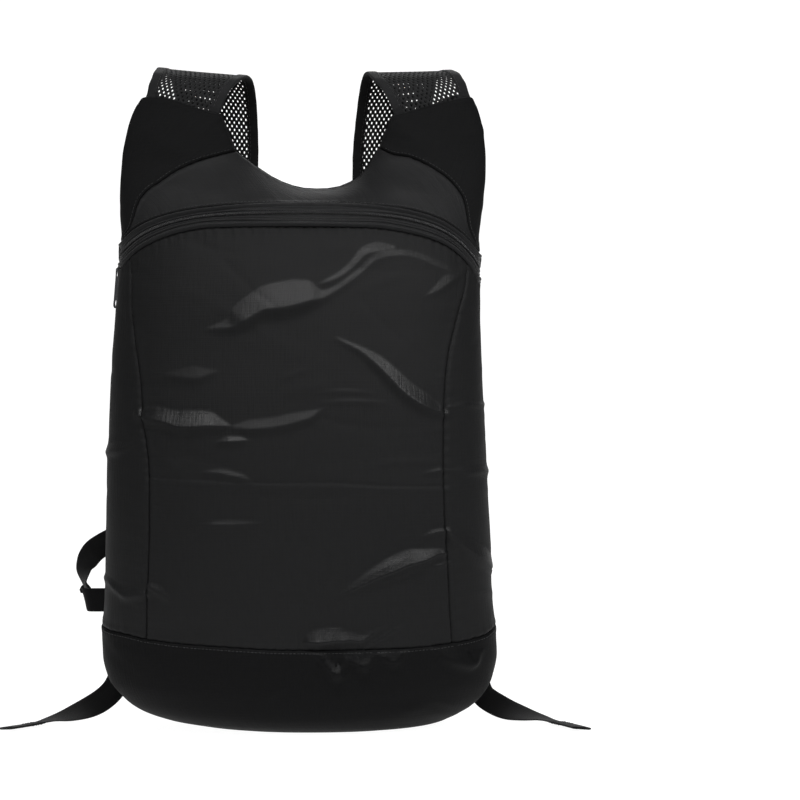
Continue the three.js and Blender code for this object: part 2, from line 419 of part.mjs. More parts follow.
// back panel, with the neck cut out of its top
{
  const backDeg = (x, z) => {
    const n = section.nBack(z), u = clamp((x - section.cx(z)) / section.half(z), -0.9999, 0.9999), a = Math.abs(u);
    return 180 - THREE.MathUtils.radToDeg(Math.atan(a / (1 - a ** n) ** (1 / n))) * Math.sign(u);
  };
  const outline = seam(topRows);
  const corner = (sign) => { const z = sign < 0 ? WING_TOP_LEFT[0].z - 0.5 : WING_TOP_RIGHT[WING_TOP_RIGHT.length - 1].z - 0.5; return { deg: sign < 0 ? 360 - BACK_SEAM_DEG : BACK_SEAM_DEG, z }; };
  const cl = corner(-1), cr = corner(1);
  const first = tAt(outline, 'x', bagPoint(BACK_SEAM_DEG, cr.z).x), last = tAt(outline, 'x', bagPoint(-BACK_SEAM_DEG, cl.z).x);
  const topC = (t) => {
    const p = outline(mix(first, last, t)), d = backDeg(p.x, p.z);
    const e = t < 0.08 ? 1 - t / 0.08 : t > 0.92 ? (t - 0.92) / 0.08 : 0, c = t < 0.5 ? cr : cl;
    return { deg: mix(d, c.deg, e), z: mix(p.z, c.z, e) };
  };
  const bottom = (t) => { const d = mix(BACK_SEAM_DEG, 360 - BACK_SEAM_DEG, t); return { deg: d, z: baseZ(d > 180 ? d - 360 : d) }; };
  pieces.back_panel = panel({ left: between(bottom(0), topC(0)), right: between(bottom(1), topC(1)), bottom, top: topC }, 25, 18);
}

// base: a closed cup with a flat bottom
{
  const STEP = [0, 3, 8, 16, 28, 42, 58], N = 40;
  const ring = (z, share, lift) => Array.from({ length: N }, (_, k) => {
    const deg = -180 + (360 * k) / N, top = baseZ(deg) - SEAM_GAP * 1.2, h = share === null ? z : mix(z, top, share);
    return cloth(deg, h, lift);
  });
  const rings = STEP.map((z, i) => ring(z, i < 5 ? 0 : (i - 4) / 16, 0));
  rings.push(ring(0, 1, 0));
  const inner = rings.map((r, i) => {
    if (i === rings.length - 1) return ring(0, 1, -WALL);
    return r.map((p, k) => {
      const deg = -180 + (360 * k) / N, q = p.clone().addScaledVector(outward(deg, Math.max(p.z, 1.2)), -WALL);
      q.z = Math.max(q.z, WALL);
      return q;
    });
  });
  // the inner floor is pulled in so that its first rings stay in order
  inner[0] = rings[0].map((p) => new THREE.Vector3(13 + (p.x - 13) * 0.95, p.y * 0.93, WALL));
  const pos = [], tri = [];
  const all = [...rings, ...[...inner].reverse()];
  for (const r of all) for (const p of r) pos.push(p.x, p.y, p.z);
  const pole = pos.length / 3; pos.push(16, -9, 0, 16, -9, WALL);
  const id = (i, k) => i * N + ((k + N) % N);
  for (let i = 0; i < all.length - 1; i++) for (let k = 0; k < N; k++) {
    tri.push([id(i, k), id(i, k + 1), id(i + 1, k + 1)], [id(i, k), id(i + 1, k + 1), id(i + 1, k)]);
  }
  for (let k = 0; k < N; k++) { tri.push([pole, id(0, k + 1), id(0, k)]); tri.push([pole + 1, id(all.length - 1, k), id(all.length - 1, k + 1)]); }
  pieces.base_panel = solid(pos, tri);
}

// ---------- ribbons: straps, bindings and webbing ----------
// A flat band through stations {at, across, wide, thick}, across being its width's direction.
function ribbon(stations) {
  const n = stations.length;
  return bar(stations.map((s, i) => {
    const before = stations[Math.max(0, i - 1)].at, after = stations[Math.min(n - 1, i + 1)].at;
    const along = after.clone().sub(before).normalize();
    const across = s.across.clone().addScaledVector(along, -s.across.dot(along)).normalize();
    const face = along.clone().cross(across).normalize();
    return [[-1, -1], [1, -1], [1, 1], [-1, 1]].map(([a, b]) =>
      s.at.clone().addScaledVector(across, (a * s.wide) / 2).addScaledVector(face, (b * s.thick) / 2));
  }));
}
// A closed bar through sections of four corners each.
function bar(sections) {
  const pos = sections.flat().flatMap((p) => [p.x, p.y, p.z]), tri = [], n = sections.length;
  for (let i = 0; i < n - 1; i++) for (let k = 0; k < 4; k++) {
    const a = 4 * i + k, b = 4 * i + ((k + 1) % 4), c = b + 4, d = a + 4;
    tri.push([a, b, c], [a, c, d]);
  }
  tri.push([0, 2, 1], [0, 3, 2]);
  const e = 4 * (n - 1);
  tri.push([e, e + 1, e + 2], [e, e + 2, e + 3]);
  return solid(pos, tri);
}
// Evenly spaced rows along a table of named columns, smooth in every column.
function spread(rows, keys, count) {
  const s = [0];
  for (let i = 1; i < rows.length; i++) {
    const a = rows[i - 1], b = rows[i];
    s.push(s[i - 1] + Math.hypot((b.x ?? (b.xIn + b.xOut) / 2) - (a.x ?? (a.xIn + a.xOut) / 2), b.y - a.y, (b.z ?? (b.zIn + b.zOut) / 2) - (a.z ?? (a.zIn + a.zOut) / 2)));
  }
  const f = Object.fromEntries(keys.map((k) => [k, smooth(s, rows.map((r) => r[k]))]));
  return Array.from({ length: count }, (_, i) => {
    const t = (s[s.length - 1] * i) / (count - 1);
    return Object.fromEntries(keys.map((k) => [k, f[k](t)]));
  });
}
// The wing tops are not the same on both sides, so the right strap's start follows its own.
const STRAP_SHIFT_RIGHT = [
  { at: 0, xIn: 13.4, zIn: 0, xOut: 15.4, zOut: 1.2 },
  { at: 0.06, xIn: 13, zIn: 0, xOut: 14, zOut: 0 },
  { at: 0.14, xIn: 15.5, zIn: 4.6, xOut: 8, zOut: -2.5 },
  { at: 0.35, xIn: 11, zIn: 2, xOut: 7, zOut: 0 },
  { at: 1, xIn: 0, zIn: 0, xOut: 0, zOut: 0 },
];
function strapRows(sign, count) {
  const rows = spread(STRAP, ['xIn', 'zIn', 'xOut', 'zOut', 'y'], count);
  if (sign < 0) return rows;
  const f = Object.fromEntries(['xIn', 'zIn', 'xOut', 'zOut'].map((k) => [k, column(STRAP_SHIFT_RIGHT, k, 'at')]));
  return rows.map((r, i) => {
    const t = i / (count - 1);
    return { xIn: -r.xIn + f.xIn(t), zIn: r.zIn + f.zIn(t), xOut: -r.xOut + f.xOut(t), zOut: r.zOut + f.zOut(t), y: r.y };
  });
}
function strap(sign) {
  const rows = strapRows(sign, 25);
  const middle = rows.map((r) => new THREE.Vector3((r.xIn + r.xOut) / 2, r.y, (r.zIn + r.zOut) / 2));
  // one frame for the mesh and both bindings, so that they lie edge to edge
  const band = (from, to, thick) => bar(rows.map((r, i) => {
    const a = new THREE.Vector3(r.xIn, r.y, r.zIn), w = new THREE.Vector3(r.xOut, r.y, r.zOut).sub(a), L = w.length();
    w.normalize();
    const along = middle[Math.min(rows.length - 1, i + 1)].clone().sub(middle[Math.max(0, i - 1)]);
    const face = along.cross(w).normalize();
    const lo = from(L), hi = to(L);
    return [[lo, -1], [hi, -1], [hi, 1], [lo, 1]].map(([d, k]) => a.clone().addScaledVector(w, d).addScaledVector(face, (k * thick) / 2));
  }));
  return {
    pad: band(() => BIND_WIDE + 0.75, (L) => L - BIND_WIDE - 0.75, MESH_THICK),
    inner: band(() => 0, () => BIND_WIDE, BIND_THICK),
    outer: band((L) => L - BIND_WIDE, (L) => L, BIND_THICK),
  };
}
const straps = { left: strap(-1), right: strap(1) };

// Ladder lock: a flat frame with two slots. Its own axes are u down the webbing, v across, n away from the bag.
function lockFrame(sign) {
  const a = rad(LOCK.lean);
  const u = new THREE.Vector3(sign * Math.sin(a), -0.04, -Math.cos(a)).normalize();
  const n = new THREE.Vector3(0, 1, 0).addScaledVector(u, -u.y).normalize();
  const v = n.clone().cross(u).normalize();
  const o = new THREE.Vector3(-sign * LOCK.x, LOCK.y, LOCK.z);
  return { u, v, n, o, put: (pu, pv, pn) => o.clone().addScaledVector(u, pu).addScaledVector(v, pv).addScaledVector(n, pn) };
}
function ladderLock(sign) {
  const { u, v, o } = lockFrame(sign);
  const half = 14;
  const g = slab([[-half, -12.5], [half, -12.5], [half, 9], [half - 3, 12], [-half + 3, 12], [-half, 9]], 2.4,
    [[-9.5, -6], [-3, 0.6], [4, 8]].map(([lo, hi]) => [[-11, lo], [11, lo], [11, hi], [-11, hi]]));
  g.applyMatrix4(new THREE.Matrix4().makeBasis(v, u, v.clone().cross(u)).setPosition(o));
  return g;
}
const TURN = 2.4; // how far each side of the lock's bars the webbing's middle lies
// A band around a bar of the lock: up one side, over it and down the other.
function around(frame, centre, dir, reachA, reachB, turn = TURN) {
  const list = [];
  list.push(frame.put(centre + dir * reachA, 0, -turn));
  for (let i = 0; i <= 6; i++) { const t = (Math.PI * i) / 6; list.push(frame.put(centre - dir * turn * Math.sin(t), 0, -turn * Math.cos(t))); }
  list.push(frame.put(centre + dir * reachB, 0, turn));
  return list;
}
function lockLoop(sign) {
  const frame = lockFrame(sign);
  return ribbon(around(frame, -10.4, -1, 14, 14, 3.1).map((at) => ({ at, across: frame.v, wide: WEB_WIDE, thick: WEB_THICK })));
}
function faced(rows) {
  // width direction from the twist: 0 faces the front, 90 has the width along Y
  return rows.map((r, i) => {
    const a = rows[Math.max(0, i - 1)], b = rows[Math.min(rows.length - 1, i + 1)];
    const T = new THREE.Vector3(b.x - a.x, b.y - a.y, b.z - a.z).normalize();
    const flat = new THREE.Vector3(T.z, 0, -T.x).normalize();
    const Y = new THREE.Vector3(0, 1, 0).addScaledVector(T, -T.y).normalize();
    if (flat.x > 0) flat.negate();
    const c = Math.cos(rad(r.twist)), s = Math.sin(rad(r.twist));
    return { at: new THREE.Vector3(r.x, r.y, r.z), across: flat.multiplyScalar(c).addScaledVector(Y, s), wide: WEB_WIDE, thick: WEB_THICK };
  });
}
function webbing(sign) {
  const frame = lockFrame(sign), out = [];
  const add = (at, across) => out.push({ at, across, wide: WEB_WIDE, thick: WEB_THICK });
  if (sign < 0) {
    // the side loop: out from the back seam, folded over a slanting line, and back in behind the bag
    const axis = new THREE.Vector3(LOOP.axisX, 0, LOOP.axisZ).normalize();
    const outX = new THREE.Vector3(-1, 0, 0), r = LOOP.radius;
    const along = outX.dot(axis), lean = Math.sqrt(1 - along * along);
    const fromAxis = outX.clone().addScaledVector(axis, -along).normalize();
    const up = new THREE.Vector3(0, 0, 1);
    const start = new THREE.Vector3(-155.9, LOOP.y - 0.8, LOOP.z);
    add(start, up);
    add(new THREE.Vector3(-162.5, LOOP.y - 0.3, LOOP.z), up);
    const foot = new THREE.Vector3(LOOP.turnX, LOOP.y, LOOP.z);
    const steps = 7, turnLong = Math.PI * r / lean;
    for (let i = 0; i <= steps; i++) {
      const t = (Math.PI * i) / steps;
      const at = foot.clone().addScaledVector(axis, (turnLong * along * i) / steps)
        .addScaledVector(fromAxis, r * Math.sin(t)).add(new THREE.Vector3(0, r * (1 - Math.cos(t)), 0));
      const T = axis.clone().multiplyScalar(along).addScaledVector(fromAxis, lean * Math.cos(t)).add(new THREE.Vector3(0, lean * Math.sin(t), 0)).normalize();
      const N = fromAxis.clone().multiplyScalar(Math.sin(t)).add(new THREE.Vector3(0, -Math.cos(t), 0));
      add(at, T.clone().cross(N).normalize());
    }
    // the rear leg runs up and in to the lock
    for (const s of faced([out[out.length - 1].at, ...RISE_LEFT].map((p) => ({ x: p.x, y: p.y, z: p.z, twist: p.twist ?? 80 }))).slice(1)) {
      if (s.across.dot(out[out.length - 1].across) < 0) s.across.negate();
      out.push(s);
    }
  } else {
    for (const r of RISE_RIGHT) {
      add(new THREE.Vector3(r.x, r.y, r.z), new THREE.Vector3(Math.sin(rad(r.turn)), 0, Math.cos(rad(r.turn))));
    }
  }
  const keep = out[out.length - 1].across.clone();
  const v = frame.v.dot(keep) > 0 ? frame.v : frame.v.clone().negate();
  for (const at of around(frame, 1.0, 1, 13, 15)) add(at, v);
  // the tail, down behind the bag and out over the ground
  const table = sign < 0 ? TAIL_LEFT : TAIL_RIGHT;
  const tail = faced(spread(table, ['x', 'y', 'z', 'twist'], 27));
  let was = v;
  for (const s of tail) {
    if (s.across.dot(was) < 0) s.across.negate();
    was = s.across;
    out.push(s);
  }
  // the hem: the last stretch is folded back on itself and sewn
  let left = 0;
  for (let i = out.length - 1; i > 0; i--) {
    out[i].thick = left < HEM_LONG ? HEM_THICK : WEB_THICK;
    left += out[i].at.distanceTo(out[i - 1].at);
  }
  // no edge of it goes into the ground
  out.forEach((s, i) => {
    const a = out[Math.max(0, i - 1)].at, b = out[Math.min(out.length - 1, i + 1)].at;
    const face = b.clone().sub(a).cross(s.across).normalize();
    s.at.z = Math.max(s.at.z, Math.abs(s.across.z) * s.wide / 2 + Math.abs(face.z) * s.thick / 2 + 0.05);
  });
  return ribbon(out);
}

// ---------- zip slider and pull ----------
function closed(g) { g.deleteAttribute('normal'); g.deleteAttribute('uv'); return mergeVertices(g, 1e-4); }
function toManifold(g) {
  const m = closed(g);
  return new wasm.Manifold(new wasm.Mesh({ numProp: 3, vertProperties: new Float32Array(m.attributes.position.array), triVerts: new Uint32Array(m.index.array) }));
}
function fromManifold(m) {
  const { vertProperties, triVerts } = m.getMesh(), g = new THREE.BufferGeometry();
  g.setAttribute('position', new THREE.Float32BufferAttribute(vertProperties, 3));
  g.setIndex(Array.from(triVerts));
  g.computeVertexNormals();
  return g;
}
function slab(points, depth, holes = []) {
  const outline = points.map(([a, b]) => new THREE.Vector2(a, b));
  if (THREE.ShapeUtils.isClockWise(outline)) outline.reverse(); // holes are wound against a counterclockwise outline
  const shape = new THREE.Shape(outline);
  for (const h of holes) shape.holes.push(new THREE.Path(h.map(([a, b]) => new THREE.Vector2(a, b))));
  const g = new THREE.ExtrudeGeometry(shape, { depth, bevelEnabled: false });
  return g.translate(0, 0, -depth / 2);
}
const oval = (cx, cy, rx, ry, n = 12) => Array.from({ length: n }, (_, i) => [cx + rx * Math.cos((2 * Math.PI * i) / n), cy + ry * Math.sin((2 * Math.PI * i) / n)]);

const SLIDER_DEG = -117;
const sliderT = tAt(pieces.coilLine, 'deg', SLIDER_DEG);
const sliderSpot = pieces.coilLine(sliderT);
const foot = cloth(sliderSpot.deg, sliderSpot.z, 1.0);
const alongZip = (() => { const d = bagPoint(SLIDER_DEG - 2, sliderSpot.z).sub(bagPoint(SLIDER_DEG + 2, sliderSpot.z)); d.z = 0; return d.normalize(); })();
const offBag = new THREE.Vector3(0, 0, 1).cross(alongZip).normalize();
if (offBag.x > 0) offBag.negate();
const BAIL_OUT = 4.75; // middle of the bail's wire, from the teeth
{
  // body: a shield outline over the teeth; bail: an arch along the zip
  const up = new THREE.Vector3(0, 0, 1);
  const place = (g, X, Y, Z, o) => g.applyMatrix4(new THREE.Matrix4().makeBasis(X, Y, Z).setPosition(o));
  const across = offBag.clone().cross(alongZip).normalize();
  const body = place(slab([[-5, -2.6], [-3.4, -3.7], [2.4, -3.7], [5, -2.2], [5, 2.2], [2.4, 3.7], [-3.4, 3.7], [-5, 2.6]], 1.9), alongZip, across, alongZip.clone().cross(across), foot.clone().addScaledVector(offBag, 0.35 + 0.95));
  const arch = slab([[-3.6, 1.2], [-3.6, 3.6], [-2.6, 5.3], [2.6, 5.3], [3.6, 3.6], [3.6, 1.2]], 1.2, [[[-2.5, 2.2], [-2.5, 3.4], [-2.0, 4.2], [2.0, 4.2], [2.5, 3.4], [2.5, 2.2]]]);
  const bail = place(arch, alongZip, offBag, alongZip.clone().cross(offBag), foot);
  pieces.zip_slider = fromManifold(toManifold(body).add(toManifold(bail)));
  void up;
}
const pullAxis = alongZip.clone();
const pullTop = foot.clone().addScaledVector(offBag, BAIL_OUT);
{
  // the pull hangs from the bail by its eye: its own x is off the bag, its own y is down
  const down = new THREE.Vector3(0, 0, -1).applyAxisAngle(pullAxis, 0);
  const lean = rad(PULL_TILT_DEG);
  const dir = down.multiplyScalar(Math.cos(lean)).addScaledVector(offBag, Math.sin(lean)).normalize();
  const wide = dir.clone().cross(pullAxis).normalize();
  const outline = [
    [-1.85, -1.2], [-1.0, -2.0], [1.0, -2.0], [1.85, -1.2], [1.85, 5.5], [1.9, 8], [2.4, 25], [2.7, 28],
    [2.5, 30.4], [1.4, 31.8], [-1.4, 31.8], [-2.5, 30.4], [-2.7, 28], [-2.4, 25], [-1.9, 8], [-1.85, 5.5],
  ];
  const g = slab(outline, 1.3, [
    [[-1.15, -0.9], [-0.9, -1.15], [0.9, -1.15], [1.15, -0.9], [1.15, 4.4], [0.6, 4.9], [-0.6, 4.9], [-1.15, 4.4]],
    oval(0, 27.6, 1.5, 2.7, 12),
  ]);
  g.applyMatrix4(new THREE.Matrix4().makeBasis(wide, dir, wide.clone().cross(dir)).setPosition(pullTop));
  pieces.zip_pull = g;
}

// ---------- the model ----------
const nylon = new THREE.MeshStandardMaterial({ color: 0x1b1b1c, roughness: 0.55, metalness: 0 });
const baseNylon = new THREE.MeshStandardMaterial({ color: 0x161617, roughness: 0.55, metalness: 0 });
const mesh = new THREE.MeshStandardMaterial({ color: 0x2b2c2d, roughness: 0.8, metalness: 0 });
const tape = new THREE.MeshStandardMaterial({ color: 0x202021, roughness: 0.85, metalness: 0 });
const teeth = new THREE.MeshStandardMaterial({ color: 0x1d1d1e, roughness: 0.5, metalness: 0 });
const web = new THREE.MeshStandardMaterial({ color: 0x232324, roughness: 0.85, metalness: 0 });
const plastic = new THREE.MeshStandardMaterial({ color: 0x141414, roughness: 0.45, metalness: 0 });
const metal = new THREE.MeshStandardMaterial({ color: 0x4a4b4d, roughness: 0.35, metalness: 0.8 });

const bag = new THREE.Group(), pull = new THREE.Group(), backpack = new THREE.Group();
const put = (group, name, geometry, material) => { const m = new THREE.Mesh(geometry, material); m.name = name; group.add(m); };
put(bag, 'front_panel', pieces.front_panel, nylon);
put(bag, 'side_panel_left', pieces.side_panel_left, nylon);
put(bag, 'side_panel_right', pieces.side_panel_right, nylon);
put(bag, 'back_panel', pieces.back_panel, nylon);
put(bag, 'base_panel', pieces.base_panel, baseNylon);
put(bag, 'yoke_panel', pieces.yoke_panel, nylon);
put(bag, 'wing_left', pieces.wing_left, nylon);
put(bag, 'wing_right', pieces.wing_right, nylon);
put(bag, 'zip_tape_lower', pieces.zip_tape_lower, tape);
put(bag, 'zip_tape_upper', pieces.zip_tape_upper, tape);
put(bag, 'zip_coil', pieces.zip_coil, teeth);
put(bag, 'zip_slider', pieces.zip_slider, metal);
put(pull, 'zip_pull', pieces.zip_pull, metal);
for (const [side_, sign] of [['left', -1], ['right', 1]]) {
  put(bag, `strap_${side_}`, straps[side_].pad, mesh);
  put(bag, `strap_binding_${side_}_inner`, straps[side_].inner, tape);
  put(bag, `strap_binding_${side_}_outer`, straps[side_].outer, tape);
  put(bag, `ladder_lock_${side_}`, ladderLock(sign), plastic);
  put(bag, `lock_loop_${side_}`, lockLoop(sign), web);
  put(bag, `webbing_${side_}`, webbing(sign), web);
}
backpack.add(bag, pull);
export default backpack;
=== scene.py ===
# A packable nylon backpack, filled and standing on its base, with mesh shoulder straps.
# Shapes are worked out in millimetres and written in metres. +X right, +Y back, +Z up; the front faces -Y.
import json
import math

import bpy
import numpy as np
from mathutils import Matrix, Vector


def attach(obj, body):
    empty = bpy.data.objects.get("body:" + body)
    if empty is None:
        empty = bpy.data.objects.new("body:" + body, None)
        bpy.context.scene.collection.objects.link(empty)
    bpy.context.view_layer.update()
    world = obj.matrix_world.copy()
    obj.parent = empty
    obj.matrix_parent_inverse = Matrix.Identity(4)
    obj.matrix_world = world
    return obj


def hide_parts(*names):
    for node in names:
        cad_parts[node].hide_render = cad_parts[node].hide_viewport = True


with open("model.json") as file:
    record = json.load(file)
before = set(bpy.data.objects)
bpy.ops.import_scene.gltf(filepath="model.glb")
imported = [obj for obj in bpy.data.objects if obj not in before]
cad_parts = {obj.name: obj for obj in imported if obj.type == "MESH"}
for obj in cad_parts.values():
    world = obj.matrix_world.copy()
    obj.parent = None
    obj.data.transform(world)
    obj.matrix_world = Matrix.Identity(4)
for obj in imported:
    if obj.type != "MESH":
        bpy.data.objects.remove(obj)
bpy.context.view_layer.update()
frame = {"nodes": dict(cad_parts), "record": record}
rng = np.random.default_rng(7)

# ---------------------------------------------------------------- camera
cam_data = bpy.data.cameras.new("camera")
cam = bpy.data.objects.new("camera", cam_data)
bpy.context.scene.collection.objects.link(cam)
CAM_AT, CAM_TO = np.array([0.0, -2493.9, 446.9]), np.array([83.4, 0.0, 272.5])
cam.location = Vector(CAM_AT / 1000)
cam.rotation_euler = Vector((CAM_TO - CAM_AT) / 1000).to_track_quat("-Z", "Y").to_euler()
cam_data.sensor_width = 36.0
cam_data.lens = 135.54
cam_data.clip_start, cam_data.clip_end = 0.05, 60
cam_data.dof.use_dof = False
bpy.context.scene.camera = cam

# ---------------------------------------------------------------- sizes and tables, as the solids have them
WALL, PINCH_REACH, LIP_HALF, BACK_SEAM_DEG = 1.2, 42.0, 1.8, 128.0
MESH_THICK, BIND_WIDE, BIND_THICK = 2.0, 8.5, 3.6
WEB_WIDE, WEB_THICK, HEM_LONG, HEM_THICK = 20.0, 1.3, 33.0, 2.0
TURN = 2.4


def named(names, data):
    a = np.array(data, float)
    return {n: a[:, i] for i, n in enumerate(names.split())}


SECTIONS = named("z half cx yFront yWide yBack nFront nBack", [
    (0, 75, 13, -34, 2, 32, 2.2, 2.6), (3, 98, 13, -46, 2, 36, 2.2, 2.8), (8, 120, 7, -55, 3, 39, 2.2, 3.0),
    (16, 138, 4, -62, 4, 42, 2.3, 3.3), (28, 152, 2.2, -67, 4, 44, 2.4, 3.6), (42, 160.5, 0.5, -71, 4, 45, 2.5, 3.8),
    (62, 164.6, 0.2, -74, 4, 46, 2.6, 4.0), (84, 163.8, -0.3, -76, 4, 46, 2.7, 4.0), (110, 161.2, -1.0, -79, 4, 46, 2.8, 4.0),
    (152, 159.6, -1.4, -82, 4, 46, 2.9, 4.0), (193, 157.9, -1.7, -83, 4, 46, 3.0, 4.0), (235, 156.5, -2.0, -81, 4, 46, 3.0, 4.0),
    (276, 154.8, -1.9, -77, 5, 46, 3.0, 4.0), (318, 152.6, -1.4, -70, 6, 46, 3.0, 4.0), (359, 150.3, -0.8, -61, 8, 45, 3.0, 4.0),
    (384, 148.6, 0.4, -53, 10, 44, 2.9, 4.0), (405, 147.8, 1.2, -44, 13, 43, 2.8, 4.0), (426, 149.8, 1.7, -33, 16, 41, 2.7, 3.8),
    (442, 150.9, 2.5, -22, 18, 40, 2.6, 3.6), (456, 151.4, 3.4, -10, 20, 38, 2.5, 3.4), (471, 151.2, 4.2, 2, 22, 37, 2.4, 3.2),
    (496, 148.3, 5.6, 12, 25, 36, 2.4, 3.0), (514, 143.0, 6.8, 17, 27, 35, 2.4, 3.0), (526, 135.3, 8.0, 21, 28, 34, 2.4, 3.0)])
WING_TOP_LEFT = named("x z", [(-126.5, 524.5), (-108, 522.2), (-84, 514.5), (-64.6, 509.4)])
NECK = named("x z", [
    (-64.6, 509.4), (-60.5, 500.3), (-55.5, 488), (-51.5, 479), (-42.3, 471.3), (-32.4, 464.2), (-20, 456.4), (-7.5, 451),
    (4, 448.2), (17.4, 447.6), (30, 448.8), (45.8, 455), (53, 461), (61, 472), (66.4, 481.3), (71, 493.4), (78.2, 508.7)])
WING_TOP_RIGHT = named("x z", [(78.2, 508.7), (93.8, 512.6), (119.3, 519.6), (142, 525)])
WING_SEAM_LEFT = named("x z", [
    (-143, 408.5), (-138, 416), (-135.4, 425.5), (-133.2, 433.5), (-130.2, 440.1), (-123.9, 446.9), (-114.6, 453.3),
    (-103.4, 461.6), (-90.2, 467.9), (-70.4, 474.3), (-51.5, 479)])
WING_SEAM_RIGHT = named("x z", [
    (66.4, 481.3), (78.7, 476), (88.9, 474.6), (98.2, 471.4), (109.8, 465.5), (122.2, 457), (131.3, 447), (135.5, 439.4),
    (137.6, 430), (139.4, 417.5), (145, 402.5)])
ZIP_UPPER = named("x z", [
    (-145.5, 404), (-135.8, 413.8), (-124.6, 420.4), (-113.6, 424.6), (-97.2, 429), (-75.4, 432.4), (-42.8, 435.1),
    (0.8, 435.8), (44.4, 435), (77.1, 432.6), (98.9, 428.2), (115.4, 422.5), (132, 412), (143.3, 400), (147, 395)])
ZIP_LOWER = named("x z", [
    (-146.4, 383), (-129.8, 398.2), (-113.3, 406.6), (-96.9, 412), (-75.2, 415.8), (-53.7, 416.8), (0.7, 417.5),
    (44.1, 416.6), (65.9, 415.4), (87.7, 411.9), (109.5, 406), (126, 397.5), (137.2, 387), (144.2, 377), (147.4, 371)])
SIDE_SEAM_LEFT = named("x z", [
    (-125.2, 83), (-124.4, 113), (-122.9, 144.5), (-121.8, 178), (-121.7, 206.5), (-122.9, 232.4), (-126, 254),
    (-127.5, 270), (-129.4, 294), (-132.7, 317), (-136, 341), (-137.2, 355), (-137, 370), (-138, 391.5)])
SIDE_SEAM_RIGHT = named("x z", [
    (124, 77.5), (122, 109.5), (120.7, 133.6), (118.1, 170), (116.8, 218), (117.2, 263), (118.5, 290), (121.8, 314.5),
    (127.4, 337), (130.6, 350), (134.1, 361.4), (136.4, 372.4), (137.6, 386.6)])
BASE_SEAM = named("deg z", [
    (-180, 86), (-128, 87), (-90, 87), (-70, 86), (-54, 84.8), (-44, 81.8), (-27, 78.1), (0, 74.6), (27, 74.8),
    (40, 76.7), (58, 80.5), (73, 84.5), (90, 86), (128, 87), (180, 86)])
ZIP_SIDE = named("deg upperLeft lowerLeft upperRight lowerRight", [
    (90, 403, 382.5, 393.5, 369.5), (100, 395, 374, 387, 364), (111, 389, 367.5, 383, 360.5), (128, 385, 364, 380, 358)])
STRAP = named("xIn zIn xOut zOut y", [
    (-65.2, 511.9, -126, 527.1, 28.2), (-61.5, 521, -124.5, 534, 29.6), (-56, 531, -122.5, 539.5, 34),
    (-48.5, 538.5, -120.5, 545, 41.5), (-43, 541.4, -118, 548, 51), (-39.3, 538.8, -112, 546, 61),
    (-36.8, 529.5, -107, 537, 70), (-35.4, 514, -104, 520, 77), (-34.4, 480, -101.5, 484, 80),
    (-37, 428.5, -102.5, 431.5, 77), (-42, 376.5, -105.3, 381.5, 71), (-49.4, 323.3, -107.6, 332.7, 65),
    (-62, 276.5, -107.2, 291.5, 60.5), (-79.2, 239.2, -110.2, 253, 57.9), (-84.1, 228.3, -115.1, 242.1, 57.4)])
STRAP_SHIFT_RIGHT = named("at xIn zIn xOut zOut", [
    (0, 13.4, 0, 15.4, 1.2), (0.06, 13, 0, 14, 0), (0.14, 15.5, 4.6, 8, -2.5), (0.35, 11, 2, 7, 0), (1, 0, 0, 0, 0)])
LOCK_X, LOCK_Y, LOCK_Z, LOCK_LEAN = -105.7, 56.8, 221.5, 24.0
LOOP_Y, LOOP_Z, LOOP_RADIUS, LOOP_AXIS, LOOP_TURN_X = 33.0, 102.0, 5.0, (0.24, -0.971), -176.2
RISE_LEFT = named("x y z twist", [
    (-182.2, 45.2, 115.5, 74), (-182.6, 47.4, 125, 50), (-179.7, 50, 133.5, 24), (-174.8, 52.5, 140.8, 8), (-165.2, 54, 147.3, 0),
    (-151, 54.4, 154.5, 0), (-136, 54.4, 165, 0), (-124.5, 54.4, 181, 0), (-118.4, 54.4, 193.5, 0)])
RISE_RIGHT = named("x y z turn", [
    (155.6, 31.5, 110, 0), (158.8, 38, 112, 8), (156.5, 46, 118, 20), (148.5, 51.5, 130, 36), (138, 54, 149, 50),
    (127.5, 54.5, 171, 60), (118.8, 54.4, 191, 66)])
TAIL_LEFT = named("x y z twist", [
    (-118, 62.0, 196, 0), (-127, 63.5, 160, 0), (-136, 63, 120, 0), (-143, 60, 80, 0), (-149, 56, 48, 3), (-157.4, 50, 25, 7),
    (-168.5, 41, 15, 18), (-183, 29, 9, 44), (-197, 17, 5.8, 71), (-208, 9, 4.6, 88), (-217, 1, 3.6, 96), (-230, -10, 2.9, 98),
    (-243, -21, 2.8, 98)])
TAIL_RIGHT = named("x y z twist", [
    (118, 62.0, 196, 180), (127, 63.5, 160, 180), (136, 63, 120, 180), (143, 60, 78, 180), (148.6, 57, 43, 177),
    (155.4, 48, 17.6, 170), (166.2, 36, 10.8, 158), (178.3, 23, 7, 134), (190.5, 11, 5.4, 110), (203, 1, 4.4, 92),
    (212, -7, 3.3, 84), (222.5, -20, 2.9, 82), (232.3, -36, 2.8, 82)])


# ---------------------------------------------------------------- curves and the bag's surface
def mix_(a, b, t):
    return a + (b - a) * t


